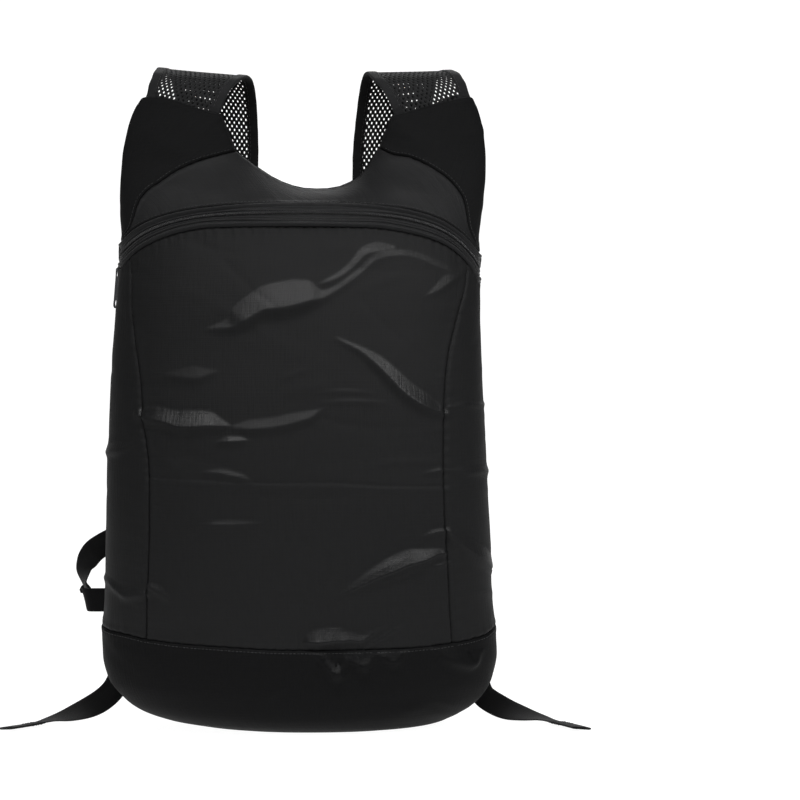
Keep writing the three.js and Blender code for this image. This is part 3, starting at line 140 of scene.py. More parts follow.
def smooth(xs, ys):
    """A smooth curve through (x, y) pairs that never overshoots them."""
    xs, ys = np.asarray(xs, float), np.asarray(ys, float)
    h = np.diff(xs)
    d = np.diff(ys) / h
    m = np.zeros(len(xs))
    m[0], m[-1] = d[0], d[-1]
    for i in range(1, len(xs) - 1):
        w1, w2 = 2 * h[i] + h[i - 1], h[i] + 2 * h[i - 1]
        if d[i - 1] * d[i] > 0:
            m[i] = (w1 + w2) / (w1 / d[i - 1] + w2 / d[i])

    def f(t):
        t = np.clip(np.asarray(t, float), xs[0], xs[-1])
        i = np.clip(np.searchsorted(xs, t, side="right") - 1, 0, len(xs) - 2)
        u = (t - xs[i]) / h[i]
        p, q = m[i] * h[i], m[i + 1] * h[i]
        return ys[i] * (1 + 2 * u) * (1 - u) ** 2 + p * u * (1 - u) ** 2 + ys[i + 1] * u * u * (3 - 2 * u) + q * u * u * (u - 1)

    return f


sec = {k: smooth(SECTIONS["z"], v) for k, v in SECTIONS.items() if k != "z"}


def seam_xz(rows):
    s = np.concatenate([[0], np.cumsum(np.hypot(np.diff(rows["x"]), np.diff(rows["z"])))])
    fx, fz = smooth(s, rows["x"]), smooth(s, rows["z"])
    return lambda t: (fx(np.asarray(t) * s[-1]), fz(np.asarray(t) * s[-1]))


def chain(*tables):
    return {k: np.concatenate([tables[0][k]] + [t[k][1:] for t in tables[1:]]) for k in ("x", "z")}


top_outline = seam_xz(chain(WING_TOP_LEFT, NECK, WING_TOP_RIGHT))
TOP_X, TOP_Z = top_outline(np.linspace(0, 1, 260))


def closing(x, z):
    out = np.ones(np.shape(x))
    k = np.nonzero(z >= 400)
    if len(k[0]):
        xs, zs = x[k], z[k]
        d = np.empty(len(xs))
        for a in range(0, len(xs), 8000):
            s = slice(a, a + 8000)
            d[s] = np.hypot(xs[s, None] - TOP_X, zs[s, None] - TOP_Z).min(1)
        u = np.clip(d / PINCH_REACH, 0, 1)
        out[k] = np.sqrt(1 - (1 - u) ** 2)
    return out


def bag_point(deg, z):
    deg, z = np.broadcast_arrays(np.asarray(deg, float), np.asarray(z, float))
    if deg.ndim == 0:
        return bag_point(deg[None], z[None])[0]
    a, b = np.sin(np.radians(deg)), np.cos(np.radians(deg))
    front = np.abs((deg + 180) % 360 - 180) <= 90
    n = np.where(front, sec["nFront"](z), sec["nBack"](z))
    r = (np.abs(a) ** n + np.abs(b) ** n) ** (-1 / n)
    x, v, wide = sec["cx"](z) + sec["half"](z) * r * a, r * np.abs(b), sec["yWide"](z)
    reach = np.where(front, sec["yFront"](z), sec["yBack"](z)) - wide
    p = closing(x, z)
    y = wide + reach * v * p + np.where(front, -1, 1) * LIP_HALF * (1 - p) * np.minimum(1, v * 3)
    return np.stack([x, y, z], -1)


def deg_of(x, z):
    n, u = sec["nFront"](z), np.clip((x - sec["cx"](z)) / sec["half"](z), -0.9999, 0.9999)
    a = np.abs(u)
    return np.degrees(np.arctan(a / (1 - a ** n) ** (1 / n))) * np.sign(u)


def outward(deg, z):
    z0, z1 = np.maximum(0.01, z - 1.5), np.minimum(526, z + 1.5)
    n = np.cross(bag_point(deg + 0.7, z) - bag_point(deg - 0.7, z), bag_point(deg, z1) - bag_point(deg, z0))
    return n / np.maximum(1e-9, np.linalg.norm(n, axis=-1, keepdims=True))


# where a point of the photograph's frame lies on the bag's front
CAM_F = (CAM_TO - CAM_AT) / np.linalg.norm(CAM_TO - CAM_AT)
CAM_R = np.cross(CAM_F, [0, 0, 1])
CAM_R /= np.linalg.norm(CAM_R)
CAM_U = np.cross(CAM_R, CAM_F)
FOCAL = 135.54 / 36 * 800


def on_front(px, py):
    px, py = np.asarray(px, float), np.asarray(py, float)
    ray = CAM_F * FOCAL + (px[..., None] - 400) * CAM_R - (py[..., None] - 400) * CAM_U
    y = np.full(px.shape, -70.0)
    for _ in range(8):
        p = CAM_AT + ray * ((y - CAM_AT[1]) / ray[..., 1])[..., None]
        z = np.clip(p[..., 2], 0.5, 525)
        y = bag_point(deg_of(p[..., 0], z), z)[..., 1]
    return p[..., 0], p[..., 2]


# ---------------------------------------------------------------- folds of the cloth
# Each fold: its crest as (px, py, height mm) in the photograph's frame, and its reach above and below, mm.
FOLDS = [
    ([(300, 192, 0.2), (330, 197, 0.8), (360, 195, 0.3)], 8, 7),
    ([(376, 178, 0.6), (395, 186, 1.4), (416, 192, 0.8)], 8, 6),
    ([(150, 190, 0.6), (165, 188, 1.1), (185, 186, 0.4)], 7, 6),
    ([(150, 135, 0.4), (175, 150, 1.2), (205, 158, 0.4)], 9, 8),
    ([(400, 135, 0.4), (425, 150, 1.1), (455, 165, 0.4)], 9, 8),
    ([(265, 700, 0.4), (275, 692, 1.3), (288, 682, 0.3)], 6, 5),
    ([(400, 714, 0.3), (413, 709, 0.9), (430, 705, 0.3)], 6, 5),
]
# Crumpled cloth makes flat facets that lean back above a sharp lower edge. Each facet: its lower edge
# from left to right as (px, py, width upward in pixels), and how far it leans, 1 for the strongest.
FACETS = [
    (0.86, [(208, 329, 2), (230, 328, 10), (245, 321, 18), (258, 313, 20), (270, 309, 24), (283, 308, 26), (300, 304, 25), (312, 300, 20),
           (322, 298, 9), (335, 291, 5), (350, 281, 5), (365, 269, 5), (376, 259.5, 5), (388, 256, 6), (402, 254.5, 5), (416, 255, 3)]),
    (0.9, [(318, 284, 1), (332, 280, 4), (346, 272, 5), (357, 262.5, 6), (366, 254, 8), (378, 251, 9), (392, 249, 4)]),
    (0.6, [(408, 255, 3), (420, 258, 5), (433, 264, 5), (446, 269, 4), (456, 275, 1)]),
    (0.7, [(426, 295, 1), (436, 291, 5), (449, 282, 8), (458, 276, 3)]),
    (1.0, [(338, 339, 2), (362, 352, 5), (375, 363, 9), (390, 378, 11), (402, 391, 12), (420, 404, 12), (435, 411, 8), (447, 414, 4)]),
    (1.1, [(140, 416, 8), (155, 420, 13), (170, 424, 14), (180, 427, 16), (195, 427, 16), (210, 426, 14), (222, 426, 7), (231, 426, 1)]),
    (1.0, [(216, 442, 1), (230, 442, 6), (242, 441, 5), (248, 440, 1)]),
    (0.65, [(236, 428, 4), (250, 429, 9), (270, 428, 10), (290, 424, 10), (310, 418, 8), (320, 410, 2)]),
    (0.45, [(168, 375, 3), (195, 378, 12), (214, 372, 3)]),
    (0.7, [(201, 472, 1), (222, 474, 5), (240, 478, 5), (252, 482, 1)]),
    (0.5, [(198, 524, 1), (228, 525, 5), (262, 523, 1)]),
    (0.4, [(318, 392, 1), (345, 391, 3), (372, 392, 1)]),
    (0.4, [(322, 402, 1), (350, 401, 3), (385, 402, 1)]),
    (0.6, [(424, 473, 1), (440, 471, 4), (447, 470, 2)]),
    (1.0, [(338, 596, 1), (360, 586, 7), (380, 576, 11), (395, 570, 14), (410, 563.5, 14), (425, 559, 11), (437, 554, 6), (448, 553, 3)]),
    (0.8, [(423, 536, 1), (434, 533, 4), (447, 530, 3)]),
    (0.8, [(428, 567, 1), (438, 566, 3), (447, 563, 3)]),
    (1.0, [(303, 643, 2), (309, 642, 9), (320, 642, 13), (335, 640, 13), (348, 640, 9), (360, 641, 7), (374, 633, 3), (380, 629, 1)]),
    (1.0, [(368, 646, 1), (378, 641, 3), (392, 632, 3), (404, 625, 1)]),
    (1.0, [(310, 653, 2), (320, 659, 8), (330, 669, 15), (337, 673, 19), (342, 664, 6)]),
    (1.0, [(340, 657, 4), (349, 661, 8), (358, 664, 12), (364, 666, 14), (374, 658, 5), (384, 659, 8), (393, 662, 10), (406, 653, 3)]),
    (0.6, [(430, 647, 3), (445, 657, 12), (458, 661, 15), (470, 663, 15), (480, 652, 3)]),
    (0.6, [(146, 583, 3), (157, 591, 7), (168, 598, 3)]),
    (0.75, [(106, 579, 4), (119, 591, 5), (129, 596, 8), (148, 593, 5)]),
    (0.6, [(104, 452, 4), (118, 450, 9), (132, 444, 3)]),
    (0.6, [(449, 535, 8), (462, 546, 12), (476, 556, 12), (490, 566, 6)]),
    (0.7, [(449, 407, 3), (465, 405, 4), (484, 404, 3)]),
    (0.55, [(451, 470, 3), (468, 472, 6), (488, 470, 4)]),
]
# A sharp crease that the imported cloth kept, right across the front.
CREASE = [(150, 477.6), (200, 480), (265.7, 483.2), (333, 483), (387, 486), (446, 486)]


def line_field(x, z, pts, hs, up, down):
    """Height of a ridge whose crest runs through pts: reach up above it and down below it."""
    best, side, height = np.full(x.shape, 1e9), np.zeros(x.shape), np.zeros(x.shape)
    for i in range(len(pts) - 1):
        (x0, z0), (x1, z1) = pts[i], pts[i + 1]
        dx, dz = x1 - x0, z1 - z0
        L = max(1e-6, dx * dx + dz * dz)
        t = ((x - x0) * dx + (z - z0) * dz) / L
        c = np.clip(t, 0, 1)
        d = np.hypot(x - x0 - c * dx, z - z0 - c * dz)
        near = d < best
        best = np.where(near, d, best)
        side = np.where(near, (z - z0 - t * dz) - (x - x0 - t * dx) * 0.0, side)
        height = np.where(near, hs[i] + (hs[i + 1] - hs[i]) * c, height)
    w = np.where(side > 0, up, down)
    return height * np.exp(-((best / w) ** 2))


fold_lines = []
for crest, up, down in FOLDS:
    c = np.array(crest, float)
    t = np.arange(len(c))
    tt = np.linspace(0, len(c) - 1, 4 * (len(c) - 1) + 1)
    c = np.stack([smooth(t, c[:, k])(tt) for k in range(3)], -1)
    fx, fz = on_front(c[:, 0], c[:, 1])
    fold_lines.append((list(zip(fx, fz)), c[:, 2], up, down))
facet_lines = []
for lean, edge_ in FACETS:
    c = np.array(edge_, float)
    t = np.arange(len(c))
    tt = np.linspace(0, len(c) - 1, 4 * (len(c) - 1) + 1)
    c = np.stack([smooth(t, c[:, k])(tt) for k in range(3)], -1)
    fx, fz = on_front(c[:, 0], c[:, 1])
    nz = outward(deg_of(fx, fz), fz)[:, 2]
    tilt = np.degrees(np.arcsin(np.clip(nz, -0.9, 0.9)))
    slope = np.clip(np.tan(np.radians(28 * (0.45 + 0.55 * lean) - tilt)), 0.10, 0.52)
    facet_lines.append((fx, fz, c[:, 2] * 0.83, slope, min(1.0, lean)))
cx_, cz_ = on_front(*np.array(CREASE).T)
crease_pts = list(zip(cx_, cz_))



def facets(x, z):
    """Height of the facets, and how much of a facet each point is, 0 to 1."""
    total, gloss_and_painted_light = np.zeros(x.shape), np.zeros(x.shape)
    for fx, fz, wide, slope, lean in facet_lines:
        m = (x > fx.min() - 16) & (x < fx.max() + 16) & (z > fz.min() - 16) & (z < fz.max() + 30)
        if not m.any():
            continue
        X, Z = x[m], z[m]
        best, side, w, k = np.full(X.shape, 1e9), np.zeros(X.shape), np.ones(X.shape), np.zeros(X.shape)
        for i in range(len(fx) - 1):
            dx, dz = fx[i + 1] - fx[i], fz[i + 1] - fz[i]
            c = np.clip(((X - fx[i]) * dx + (Z - fz[i]) * dz) / max(1e-6, dx * dx + dz * dz), 0, 1)
            d = np.hypot(X - fx[i] - c * dx, Z - fz[i] - c * dz)
            near = d < best
            best = np.where(near, d, best)
            side = np.where(near, dx * (Z - fz[i]) - dz * (X - fx[i]), side)
            w = np.where(near, mix_(wide[i], wide[i + 1], c), w)
            k = np.where(near, mix_(slope[i], slope[i + 1], c), k)
        q = best / np.maximum(w, 0.4)
        up = ((1 - q) + np.sqrt((1 - q) ** 2 + 0.02)) / 2 - 0.5 * (np.sqrt((1 - q) ** 2 + 0.02) - np.abs(1 - q)) * (q > 1)
        low = np.exp(-((best / (2.6 + 0.20 * w)) ** 2))
        total[m] += k * w * np.where(side > 0, up, low * 1.005)
        body = np.where(side > 0, np.clip((w + 0.8 - best) / 2.0, 0, 1), np.clip(1 - best / 1.2, 0, 1))
        gloss_and_painted_light[m] = np.maximum(gloss_and_painted_light[m], lean * body * np.clip(w / 2.5, 0, 1))
    return total, gloss_and_painted_light


# Small crinkles: short soft ridges, most of them near level, over the whole bag by (girth, z).
N_CRINKLE = 300
crinkles = np.stack([
    rng.uniform(-330, 330, N_CRINKLE), rng.uniform(0, 520, N_CRINKLE), rng.normal(0, 24, N_CRINKLE),
    rng.uniform(12, 60, N_CRINKLE), rng.uniform(2.6, 7.5, N_CRINKLE), rng.uniform(-0.34, 0.42, N_CRINKLE)], -1)


def crinkle_field(g, z):
    out = np.zeros(g.shape)
    for gx, gz, ang, long, w, h in crinkles:
        m = (np.abs(g - gx) < long + 3 * w) & (np.abs(z - gz) < long + 3 * w)
        if not m.any():
            continue
        a = math.radians(ang)
        u, v = (g[m] - gx) * math.cos(a) + (z[m] - gz) * math.sin(a), -(g[m] - gx) * math.sin(a) + (z[m] - gz) * math.cos(a)
        v = v + 0.0016 * u * u * (1 if h > 0 else -1)
        out[m] += h * np.exp(-((v / w) ** 2)) * np.exp(-((u / long) ** 4) * 2)
    return out


def waves(seed, lengths, size=4000.0):
    """A smooth random curve of one variable, with the given wavelengths."""
    r = np.random.default_rng(seed)
    parts = [(2 * math.pi / L * r.uniform(0.8, 1.25), r.uniform(0, 6.28), 1.0 / (i + 1)) for i, L in enumerate(np.repeat(lengths, 3))]
    total = sum(p[2] for p in parts) ** 0.5
    return lambda t: sum(a * np.sin(k * t + p) for k, p, a in parts) / total


def broad_field(g, z):
    """Slow unevenness of filled cloth."""
    return (0.9 * np.sin(g / 47 + 1.3) * np.sin(z / 39 + 0.4) + 0.6 * np.sin(g / 29 + z / 61 + 2.0) * np.sin(z / 23 - g / 90)
            + 0.35 * np.sin(g / 17 - z / 19 + 1.0) * np.sin(z / 31 + g / 37))


def cloth_height(deg, x, z, girth):
    front = np.clip((100 - np.abs((deg + 180) % 360 - 180)) / 12, 0, 1)
    total = np.zeros(x.shape)
    for pts, hs, up, down in fold_lines:
        total += line_field(x, z, pts, hs, up, down)
    total = (total + facets(x, z)[0]) * front
    d = line_field(x, z, crease_pts, np.full(len(crease_pts), 1.0), 1.3, 1.3)
    low = line_field(x, z - 0.0, [(a, b - 2.6) for a, b in crease_pts], np.full(len(crease_pts), 1.0), 2.2, 3.6)
    total += front * (-0.42 * d + 0.30 * low)
    quiet = np.clip(z / 14, 0, 1)
    return total + quiet * (crinkle_field(girth, z) + 0.55 * broad_field(girth, z))


# ---------------------------------------------------------------- meshes
def add_mesh(name, verts, faces, uvs=None, smooth_shade=True, body="bag", gloss_and_painted_light=None):
    me = bpy.data.meshes.new(name)
    verts = np.asarray(verts, float) / 1000
    faces = [np.asarray(f) for f in faces if len(f)]
    me.vertices.add(len(verts))
    me.vertices.foreach_set("co", verts.ravel())
    loops = np.concatenate([f.ravel() for f in faces])
    sizes = np.concatenate([np.full(len(f), f.shape[1]) for f in faces])
    me.loops.add(len(loops))
    me.loops.foreach_set("vertex_index", loops.astype(np.int32))
    me.polygons.add(len(sizes))
    me.polygons.foreach_set("loop_start", np.concatenate([[0], np.cumsum(sizes)[:-1]]).astype(np.int32))
    me.polygons.foreach_set("loop_total", sizes.astype(np.int32))
    me.update(calc_edges=True)
    me.validate()
    me.polygons.foreach_set("use_smooth", np.full(len(me.polygons), smooth_shade))
    if uvs is not None:
        layer = me.uv_layers.new(name="cloth")
        idx = np.empty(len(me.loops), np.int32)
        me.loops.foreach_get("vertex_index", idx)
        layer.data.foreach_set("uv", (np.asarray(uvs, float)[idx] / 1000).ravel())
    # This attribute carries the facets' gloss on the cloth; on the strap mesh and bindings it marks which face is lit,
    # for a painted shade on the other face.
    if gloss_and_painted_light is not None:
        at = me.attributes.new("gloss_and_painted_light", "FLOAT", "POINT")
        at.data.foreach_set("value", np.asarray(gloss_and_painted_light, np.float32))
    ob = bpy.data.objects.new(name, me)
    bpy.context.scene.collection.objects.link(ob)
    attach(ob, body)
    return ob


def quads(ids, flip=False):
    q = np.stack([ids[:-1, :-1], ids[:-1, 1:], ids[1:, 1:], ids[1:, :-1]], -1).reshape(-1, 4)
    return q[:, ::-1] if flip else q


def shell(name, outer, inner, uv, step, gloss_and_painted_light):
    """A closed wall: a fine outer grid, and an inner grid of every step-th point of it, joined round the rim."""
    R, C = outer.shape[:2]
    ids = np.arange(R * C).reshape(R, C)
    ri, ci = np.arange(0, R, step), np.arange(0, C, step)
    assert ri[-1] == R - 1 and ci[-1] == C - 1
    low = inner[np.ix_(ri, ci)]
    lid = R * C + np.arange(low.shape[0] * low.shape[1]).reshape(low.shape[:2])
    tris = []

    def rim(fine, coarse, flip):
        for k in range(len(coarse) - 1):
            a, b, run = coarse[k], coarse[k + 1], fine[k * step:(k + 1) * step + 1]
            half = step // 2
            for i in range(step):
                tris.append((a if i < half else b, run[i + 1], run[i]) if not flip else (a if i < half else b, run[i], run[i + 1]))
            tris.append((a, b, run[half]) if not flip else (a, run[half], b))

    rim(ids[0], lid[0], False)
    rim(ids[-1], lid[-1], True)
    rim(ids[:, 0], lid[:, 0], True)
    rim(ids[:, -1], lid[:, -1], False)
    verts = np.concatenate([outer.reshape(-1, 3), low.reshape(-1, 3)])
    uvs = np.concatenate([uv.reshape(-1, 2), uv[np.ix_(ri, ci)].reshape(-1, 2)])
    gloss_and_painted_light = np.concatenate([gloss_and_painted_light.ravel(), gloss_and_painted_light[np.ix_(ri, ci)].ravel()])
    return add_mesh(name, verts, [quads(ids), quads(lid, True), np.array(tris)], uvs, gloss_and_painted_light=gloss_and_painted_light)


def wrap_girth(deg, z):
    """Distance round the bag from its front centre, near enough for patterns."""
    d = (deg + 180) % 360 - 180
    return np.where(np.abs(d) <= 90, sec["half"](z) * np.sin(np.radians(np.clip(d, -90, 90))) * 1.0 + 0.6 * d, np.sign(d) * (sec["half"](z) + 54 + 1.6 * (np.abs(d) - 90)))


def mix(a, b, t):
    return a + (b - a) * t


def panel(name, left, right, bottom, top, cols, rows, step=4, edge=(1, 1, 1, 1), pucker=(0.3, 0.3, 0.3, 0.3), roll=1.5, over=0.0, inset=0.12, extra=None, folds=1.0, seed=1):
    """A panel of cloth inside four seams (left, right, bottom, top). Each seam gives (deg, z) for t from 0 to 1."""
    s = np.linspace(0, 1, cols)[None, :].repeat(rows, 0)
    t = np.linspace(0, 1, rows)[:, None].repeat(cols, 1)
    s1, t1 = s[0], t[:, 0]

    def at(s1, t1):
        b, u, l, r = bottom(s1), top(s1), left(t1), right(t1)
        c = [bottom(np.array([0.0])), bottom(np.array([1.0])), top(np.array([0.0])), top(np.array([1.0]))]
        out = []
        for k in (0, 1):
            c00, c10, c01, c11 = (q[k][0] for q in c)
            S, T = s1[None, :], t1[:, None]
            out.append(mix(b[k][None, :], u[k][None, :], T) + mix(l[k][:, None], r[k][:, None], S)
                       - mix(mix(c00, c10, S), mix(c01, c11, S), T))
        return out

    deg, z = at(s1, t1)
    p = bag_point(deg, z)
    wide = np.linalg.norm(np.diff(p, axis=1), axis=-1).sum(1)
    tall = np.linalg.norm(np.diff(p, axis=0), axis=-1).sum(0)
    # rows and columns crowd towards the seams, so that the rolled edge is fine
    def crowd(n, size):
        if n <= 40:
            return np.linspace(0, 1, n)
        e = np.array([0.0, 0.5, 1.1, 1.9, 3.0, 4.6]) / size
        m = len(e)
        inner = np.linspace(e[-1], 1 - e[-1], n - 2 * (m - 1))
        return np.concatenate([e[:-1], inner, 1 - e[:-1][::-1]])

    s1, t1 = crowd(cols, wide.mean()), crowd(rows, tall.mean())
    deg, z = at(s1, t1)
    p = bag_point(deg, z)
    S = np.broadcast_to(s1[None, :], z.shape)
    T = np.broadcast_to(t1[:, None], z.shape)
    wide = np.linalg.norm(np.diff(p, axis=1), axis=-1).sum(1)[:, None]
    tall = np.linalg.norm(np.diff(p, axis=0), axis=-1).sum(0)[None, :]
    n = outward(deg, z)
    along_u = np.concatenate([np.zeros((rows, 1)), np.cumsum(np.linalg.norm(np.diff(p, axis=1), axis=-1), 1)], 1)
    along_v = np.concatenate([np.zeros((1, cols)), np.cumsum(np.linalg.norm(np.diff(p, axis=0), axis=-1), 0)], 0)
    dist = [S * wide, (1 - S) * wide, T * tall, (1 - T) * tall]
    girth = wrap_girth(deg, z)
    lift = folds * cloth_height(deg, p[..., 0], z, girth) + over
    calm = np.ones(z.shape)
    for k in range(4):
        w = waves(seed * 10 + k, [9.0, 5.2, 3.4])
        axis = along_v if k < 2 else along_u
        lift = lift + pucker[k] * np.exp(-dist[k] / 5.5) * w(axis)
        lift = lift + 0.35 * pucker[k] * np.exp(-dist[k] / 16) * waves(seed * 10 + k + 5, [21.0, 13.0])(axis)
        if edge[k]:
            lift = lift - edge[k] * roll * np.exp(-((dist[k] / 0.80) ** 1.5))
            lift = lift + 0.35 * edge[k] * np.exp(-(((dist[k] - 3.0) / 2.0) ** 2))
            calm = calm * np.clip(dist[k] / 3.0, 0, 1)
    if extra is not None:
        lift = lift + extra(dist, along_u, along_v, deg, z)
    outer = p + n * lift[..., None]
    inner = p + n * (np.minimum(lift, lift) - WALL)[..., None]
    uv = np.stack([girth, z], -1)
    uv = np.stack([along_u + np.minimum(0, girth[:, :1]), along_v + z[:1, :]], -1)
    front = np.clip((100 - np.abs((deg + 180) % 360 - 180)) / 12, 0, 1) * (folds >= 1)
    ob = shell(name, outer, inner, uv, step, facets(p[..., 0], z)[1] * front)
    return ob


def front_seam(rows):
    f = seam_xz(rows)

    def g(t):
        x, z = f(t)
        return deg_of(x, z), z

    return g


def between(a, b):
    return lambda t: (mix(a[0], b[0], np.asarray(t, float)), mix(a[1], b[1], np.asarray(t, float)))


def end_of(f, t):
    d, z = f(np.array([float(t)]))
    return float(d[0]), float(z[0])


def joined(*parts):
    total = sum(share for _, share in parts)

    def g(t):
        u = np.asarray(t, float) * total
        deg, z = np.zeros(u.shape), np.zeros(u.shape)
        start = 0.0
        for k, (f, share) in enumerate(parts):
            m = (u >= start - 1e-12) & ((u <= start + share) if k < len(parts) - 1 else True)
            if m.any():
                a, b = f(np.clip((u[m] - start) / share, 0, 1))
                deg[m], z[m] = a, b
            start += share
        return deg, z

    return g


def backwards(f):
    return lambda t: f(1 - np.asarray(t, float))


def stretch(f, a, b):
    return lambda t: f(mix(a, b, np.asarray(t, float)))


def t_at(f, k, value):
    t = np.linspace(0, 1, 2001)
    return float(t[np.argmin(np.abs(f(t)[k] - value))])


base_z = smooth(BASE_SEAM["deg"], BASE_SEAM["z"])
base_row = lambda a, b: (lambda t: (mix(a, b, np.asarray(t, float)), base_z((mix(a, b, np.asarray(t, float)) + 180) % 360 - 180)))
zip_upper_front, zip_lower_front = front_seam(ZIP_UPPER), front_seam(ZIP_LOWER)


def side_row(key, sign, a, b):
    f = smooth(ZIP_SIDE["deg"], ZIP_SIDE[key])
    return lambda t: (sign * mix(a, b, np.asarray(t, float)), f(mix(a, b, np.asarray(t, float))))


def zip_line(upper):
    front, name = (zip_upper_front, "upper") if upper else (zip_lower_front, "lower")
    l, r = side_row(name + "Left", -1, BACK_SEAM_DEG, 90), side_row(name + "Right", 1, 90, BACK_SEAM_DEG)
    return joined((l, 0.13), (between(end_of(l, 1), end_of(front, 0)), 0.035), (front, 0.67),
                  (between(end_of(front, 1), end_of(r, 0)), 0.035), (r, 0.13))


zip_upper, zip_lower = zip_line(True), zip_line(False)


def zip_between(share):
    def g(t):
        a, b = zip_lower(t), zip_upper(t)
        return mix(a[0], b[0], share), mix(a[1], b[1], share)

    return g


made = {}

# front and side panels
left_seam, right_seam = front_seam(SIDE_SEAM_LEFT), front_seam(SIDE_SEAM_RIGHT)
b0, b1, t0, t1 = end_of(left_seam, 0), end_of(right_seam, 0), end_of(left_seam, 1), end_of(right_seam, 1)
u0, u1 = t_at(zip_lower, 0, t0[0]), t_at(zip_lower, 0, t1[0])


def fit(f, a, b):
    e0, e1 = end_of(f, 0), end_of(f, 1)

    def g(t):
        d, z = f(t)
        t = np.asarray(t, float)
        return d + mix(a[0] - e0[0], b[0] - e1[0], t), z + mix(a[1] - e0[1], b[1] - e1[1], t)

    return g


front_bottom, front_top = base_row(b0[0], b1[0]), stretch(zip_lower, u0, u1)
left_seam = fit(left_seam, end_of(front_bottom, 0), end_of(front_top, 0))
right_seam = fit(right_seam, end_of(front_bottom, 1), end_of(front_top, 1))
k = 1
made["front_panel"] = panel("front_cloth", left_seam, right_seam, front_bottom, front_top, 256 // k + 1 if k == 1 else 145, 276 // k + 1 if k == 1 else 153, edge=(1, 1, 1, 1), pucker=(0.30, 0.30, 0.42, 0.55), seed=1)
zl0, zl1 = end_of(zip_lower, 0), end_of(zip_lower, 1)
made["side_panel_left"] = panel(
    "side_cloth_left", between((-BACK_SEAM_DEG, float(base_z(-BACK_SEAM_DEG))), (-BACK_SEAM_DEG, zl0[1])), left_seam,
    base_row(-BACK_SEAM_DEG, b0[0]), stretch(zip_lower, 0, u0), 109 if k == 1 else 69, 241 if k == 1 else 137, pucker=(0.3, 0.3, 0.4, 0.3), seed=2)
made["side_panel_right"] = panel(
    "side_cloth_right", right_seam, between((BACK_SEAM_DEG, float(base_z(BACK_SEAM_DEG))), (BACK_SEAM_DEG, zl1[1])),
    base_row(b1[0], BACK_SEAM_DEG), stretch(zip_lower, u1, 1), 109 if k == 1 else 69, 241 if k == 1 else 137, pucker=(0.3, 0.3, 0.4, 0.3), seed=3)

# zip band: two tapes, with a rolled lip under the upper seam and a stitched fold over the lower tape
COIL_LOW, COIL_HIGH = 0.50, 0.66


def strip(name, a, b, cols, rows, over, extra, seed, edge=(0, 0, 1, 1)):
    def side_of(t0):
        p, q = end_of(a, t0), end_of(b, t0)
        return between(p, q)

    return panel(name, side_of(0), side_of(1), a, b, cols, rows, over=over, extra=extra, folds=0.35, seed=seed,
                 edge=edge, pucker=(0, 0, 0.10, 0.10), roll=0.9)


def lower_tape(dist, u, v, deg, z):
    d = dist[2]
    fold = 0.9 * np.exp(-(((d - 2.4) / 1.7) ** 2)) - 0.85 * np.exp(-(((d - 4.9) / 0.55) ** 2)) + 0.25 * np.exp(-(((d - 6.2) / 0.6) ** 2)) - 0.75 * np.exp(-(((d - 7.6) / 0.5) ** 2))
    return fold + 0.14 * np.exp(-(((d - 2.8) / 2.4) ** 2)) * waves(31, [5.0, 3.6])(u)


def upper_tape(dist, u, v, deg, z):
    d = dist[3]
    return 1.55 * np.exp(-(((d - 2.3) / 1.5) ** 2)) - 0.75 * np.exp(-(((d - 4.9) / 0.5) ** 2)) + 0.10 * np.exp(-((d / 4) ** 2)) * waves(32, [7.0, 4.6])(u)


zc = 481
made["zip_tape_lower"] = strip("zip_tape_below", zip_lower, zip_between(COIL_LOW), zc, 33, 0.5, lower_tape, 11)
made["zip_tape_upper"] = strip("zip_tape_above", zip_between(COIL_HIGH), zip_upper, zc, 21, 0.6, upper_tape, 12)
coil_bed = strip("zip_teeth_bed", zip_between(COIL_LOW), zip_between(COIL_HIGH), 201, 5, 0.1, None, 13, edge=(0, 0, 0, 0))

# yoke between the zip and the neck
wl, wr, nk = front_seam(WING_SEAM_LEFT), front_seam(WING_SEAM_RIGHT), front_seam(NECK)
neck_a = t_at(seam_xz(NECK), 0, WING_SEAM_LEFT["x"][-1])
neck_b = t_at(seam_xz(NECK), 0, WING_SEAM_RIGHT["x"][0])
yoke_top = joined((wl, 0.36), (stretch(nk, neck_a, neck_b), 0.34), (wr, 0.36))
q0 = t_at(zip_upper, 0, float(deg_of(np.array(-144.0), np.array(405.5))))
q1 = t_at(zip_upper, 0, float(deg_of(np.array(145.5), np.array(397.5))))
yoke_bottom = stretch(zip_upper, q0, q1)
made["yoke_panel"] = panel("yoke_cloth", between(end_of(yoke_bottom, 0), end_of(yoke_top, 0)), between(end_of(yoke_bottom, 1), end_of(yoke_top, 1)),
                           yoke_bottom, yoke_top, 241, 57, pucker=(0.1, 0.1, 0.35, 0.30), seed=4, edge=(1, 1, 1, 1.2))


# wings: they wrap round to the back seam and carry the straps
def wing_top(rows, sign):
    f = front_seam(rows)
    k = 0 if sign < 0 else -1
    ex, ez = rows["x"][k], rows["z"][k]
    d = abs(float(deg_of(np.array(ex), np.array(ez))))
    round_ = lambda t: (sign * mix(d, BACK_SEAM_DEG, np.asarray(t, float)), ez - 0.5 * np.asarray(t, float))
    return joined((backwards(round_), 0.3), (f, 0.7)) if sign < 0 else joined((f, 0.7), (round_, 0.3))


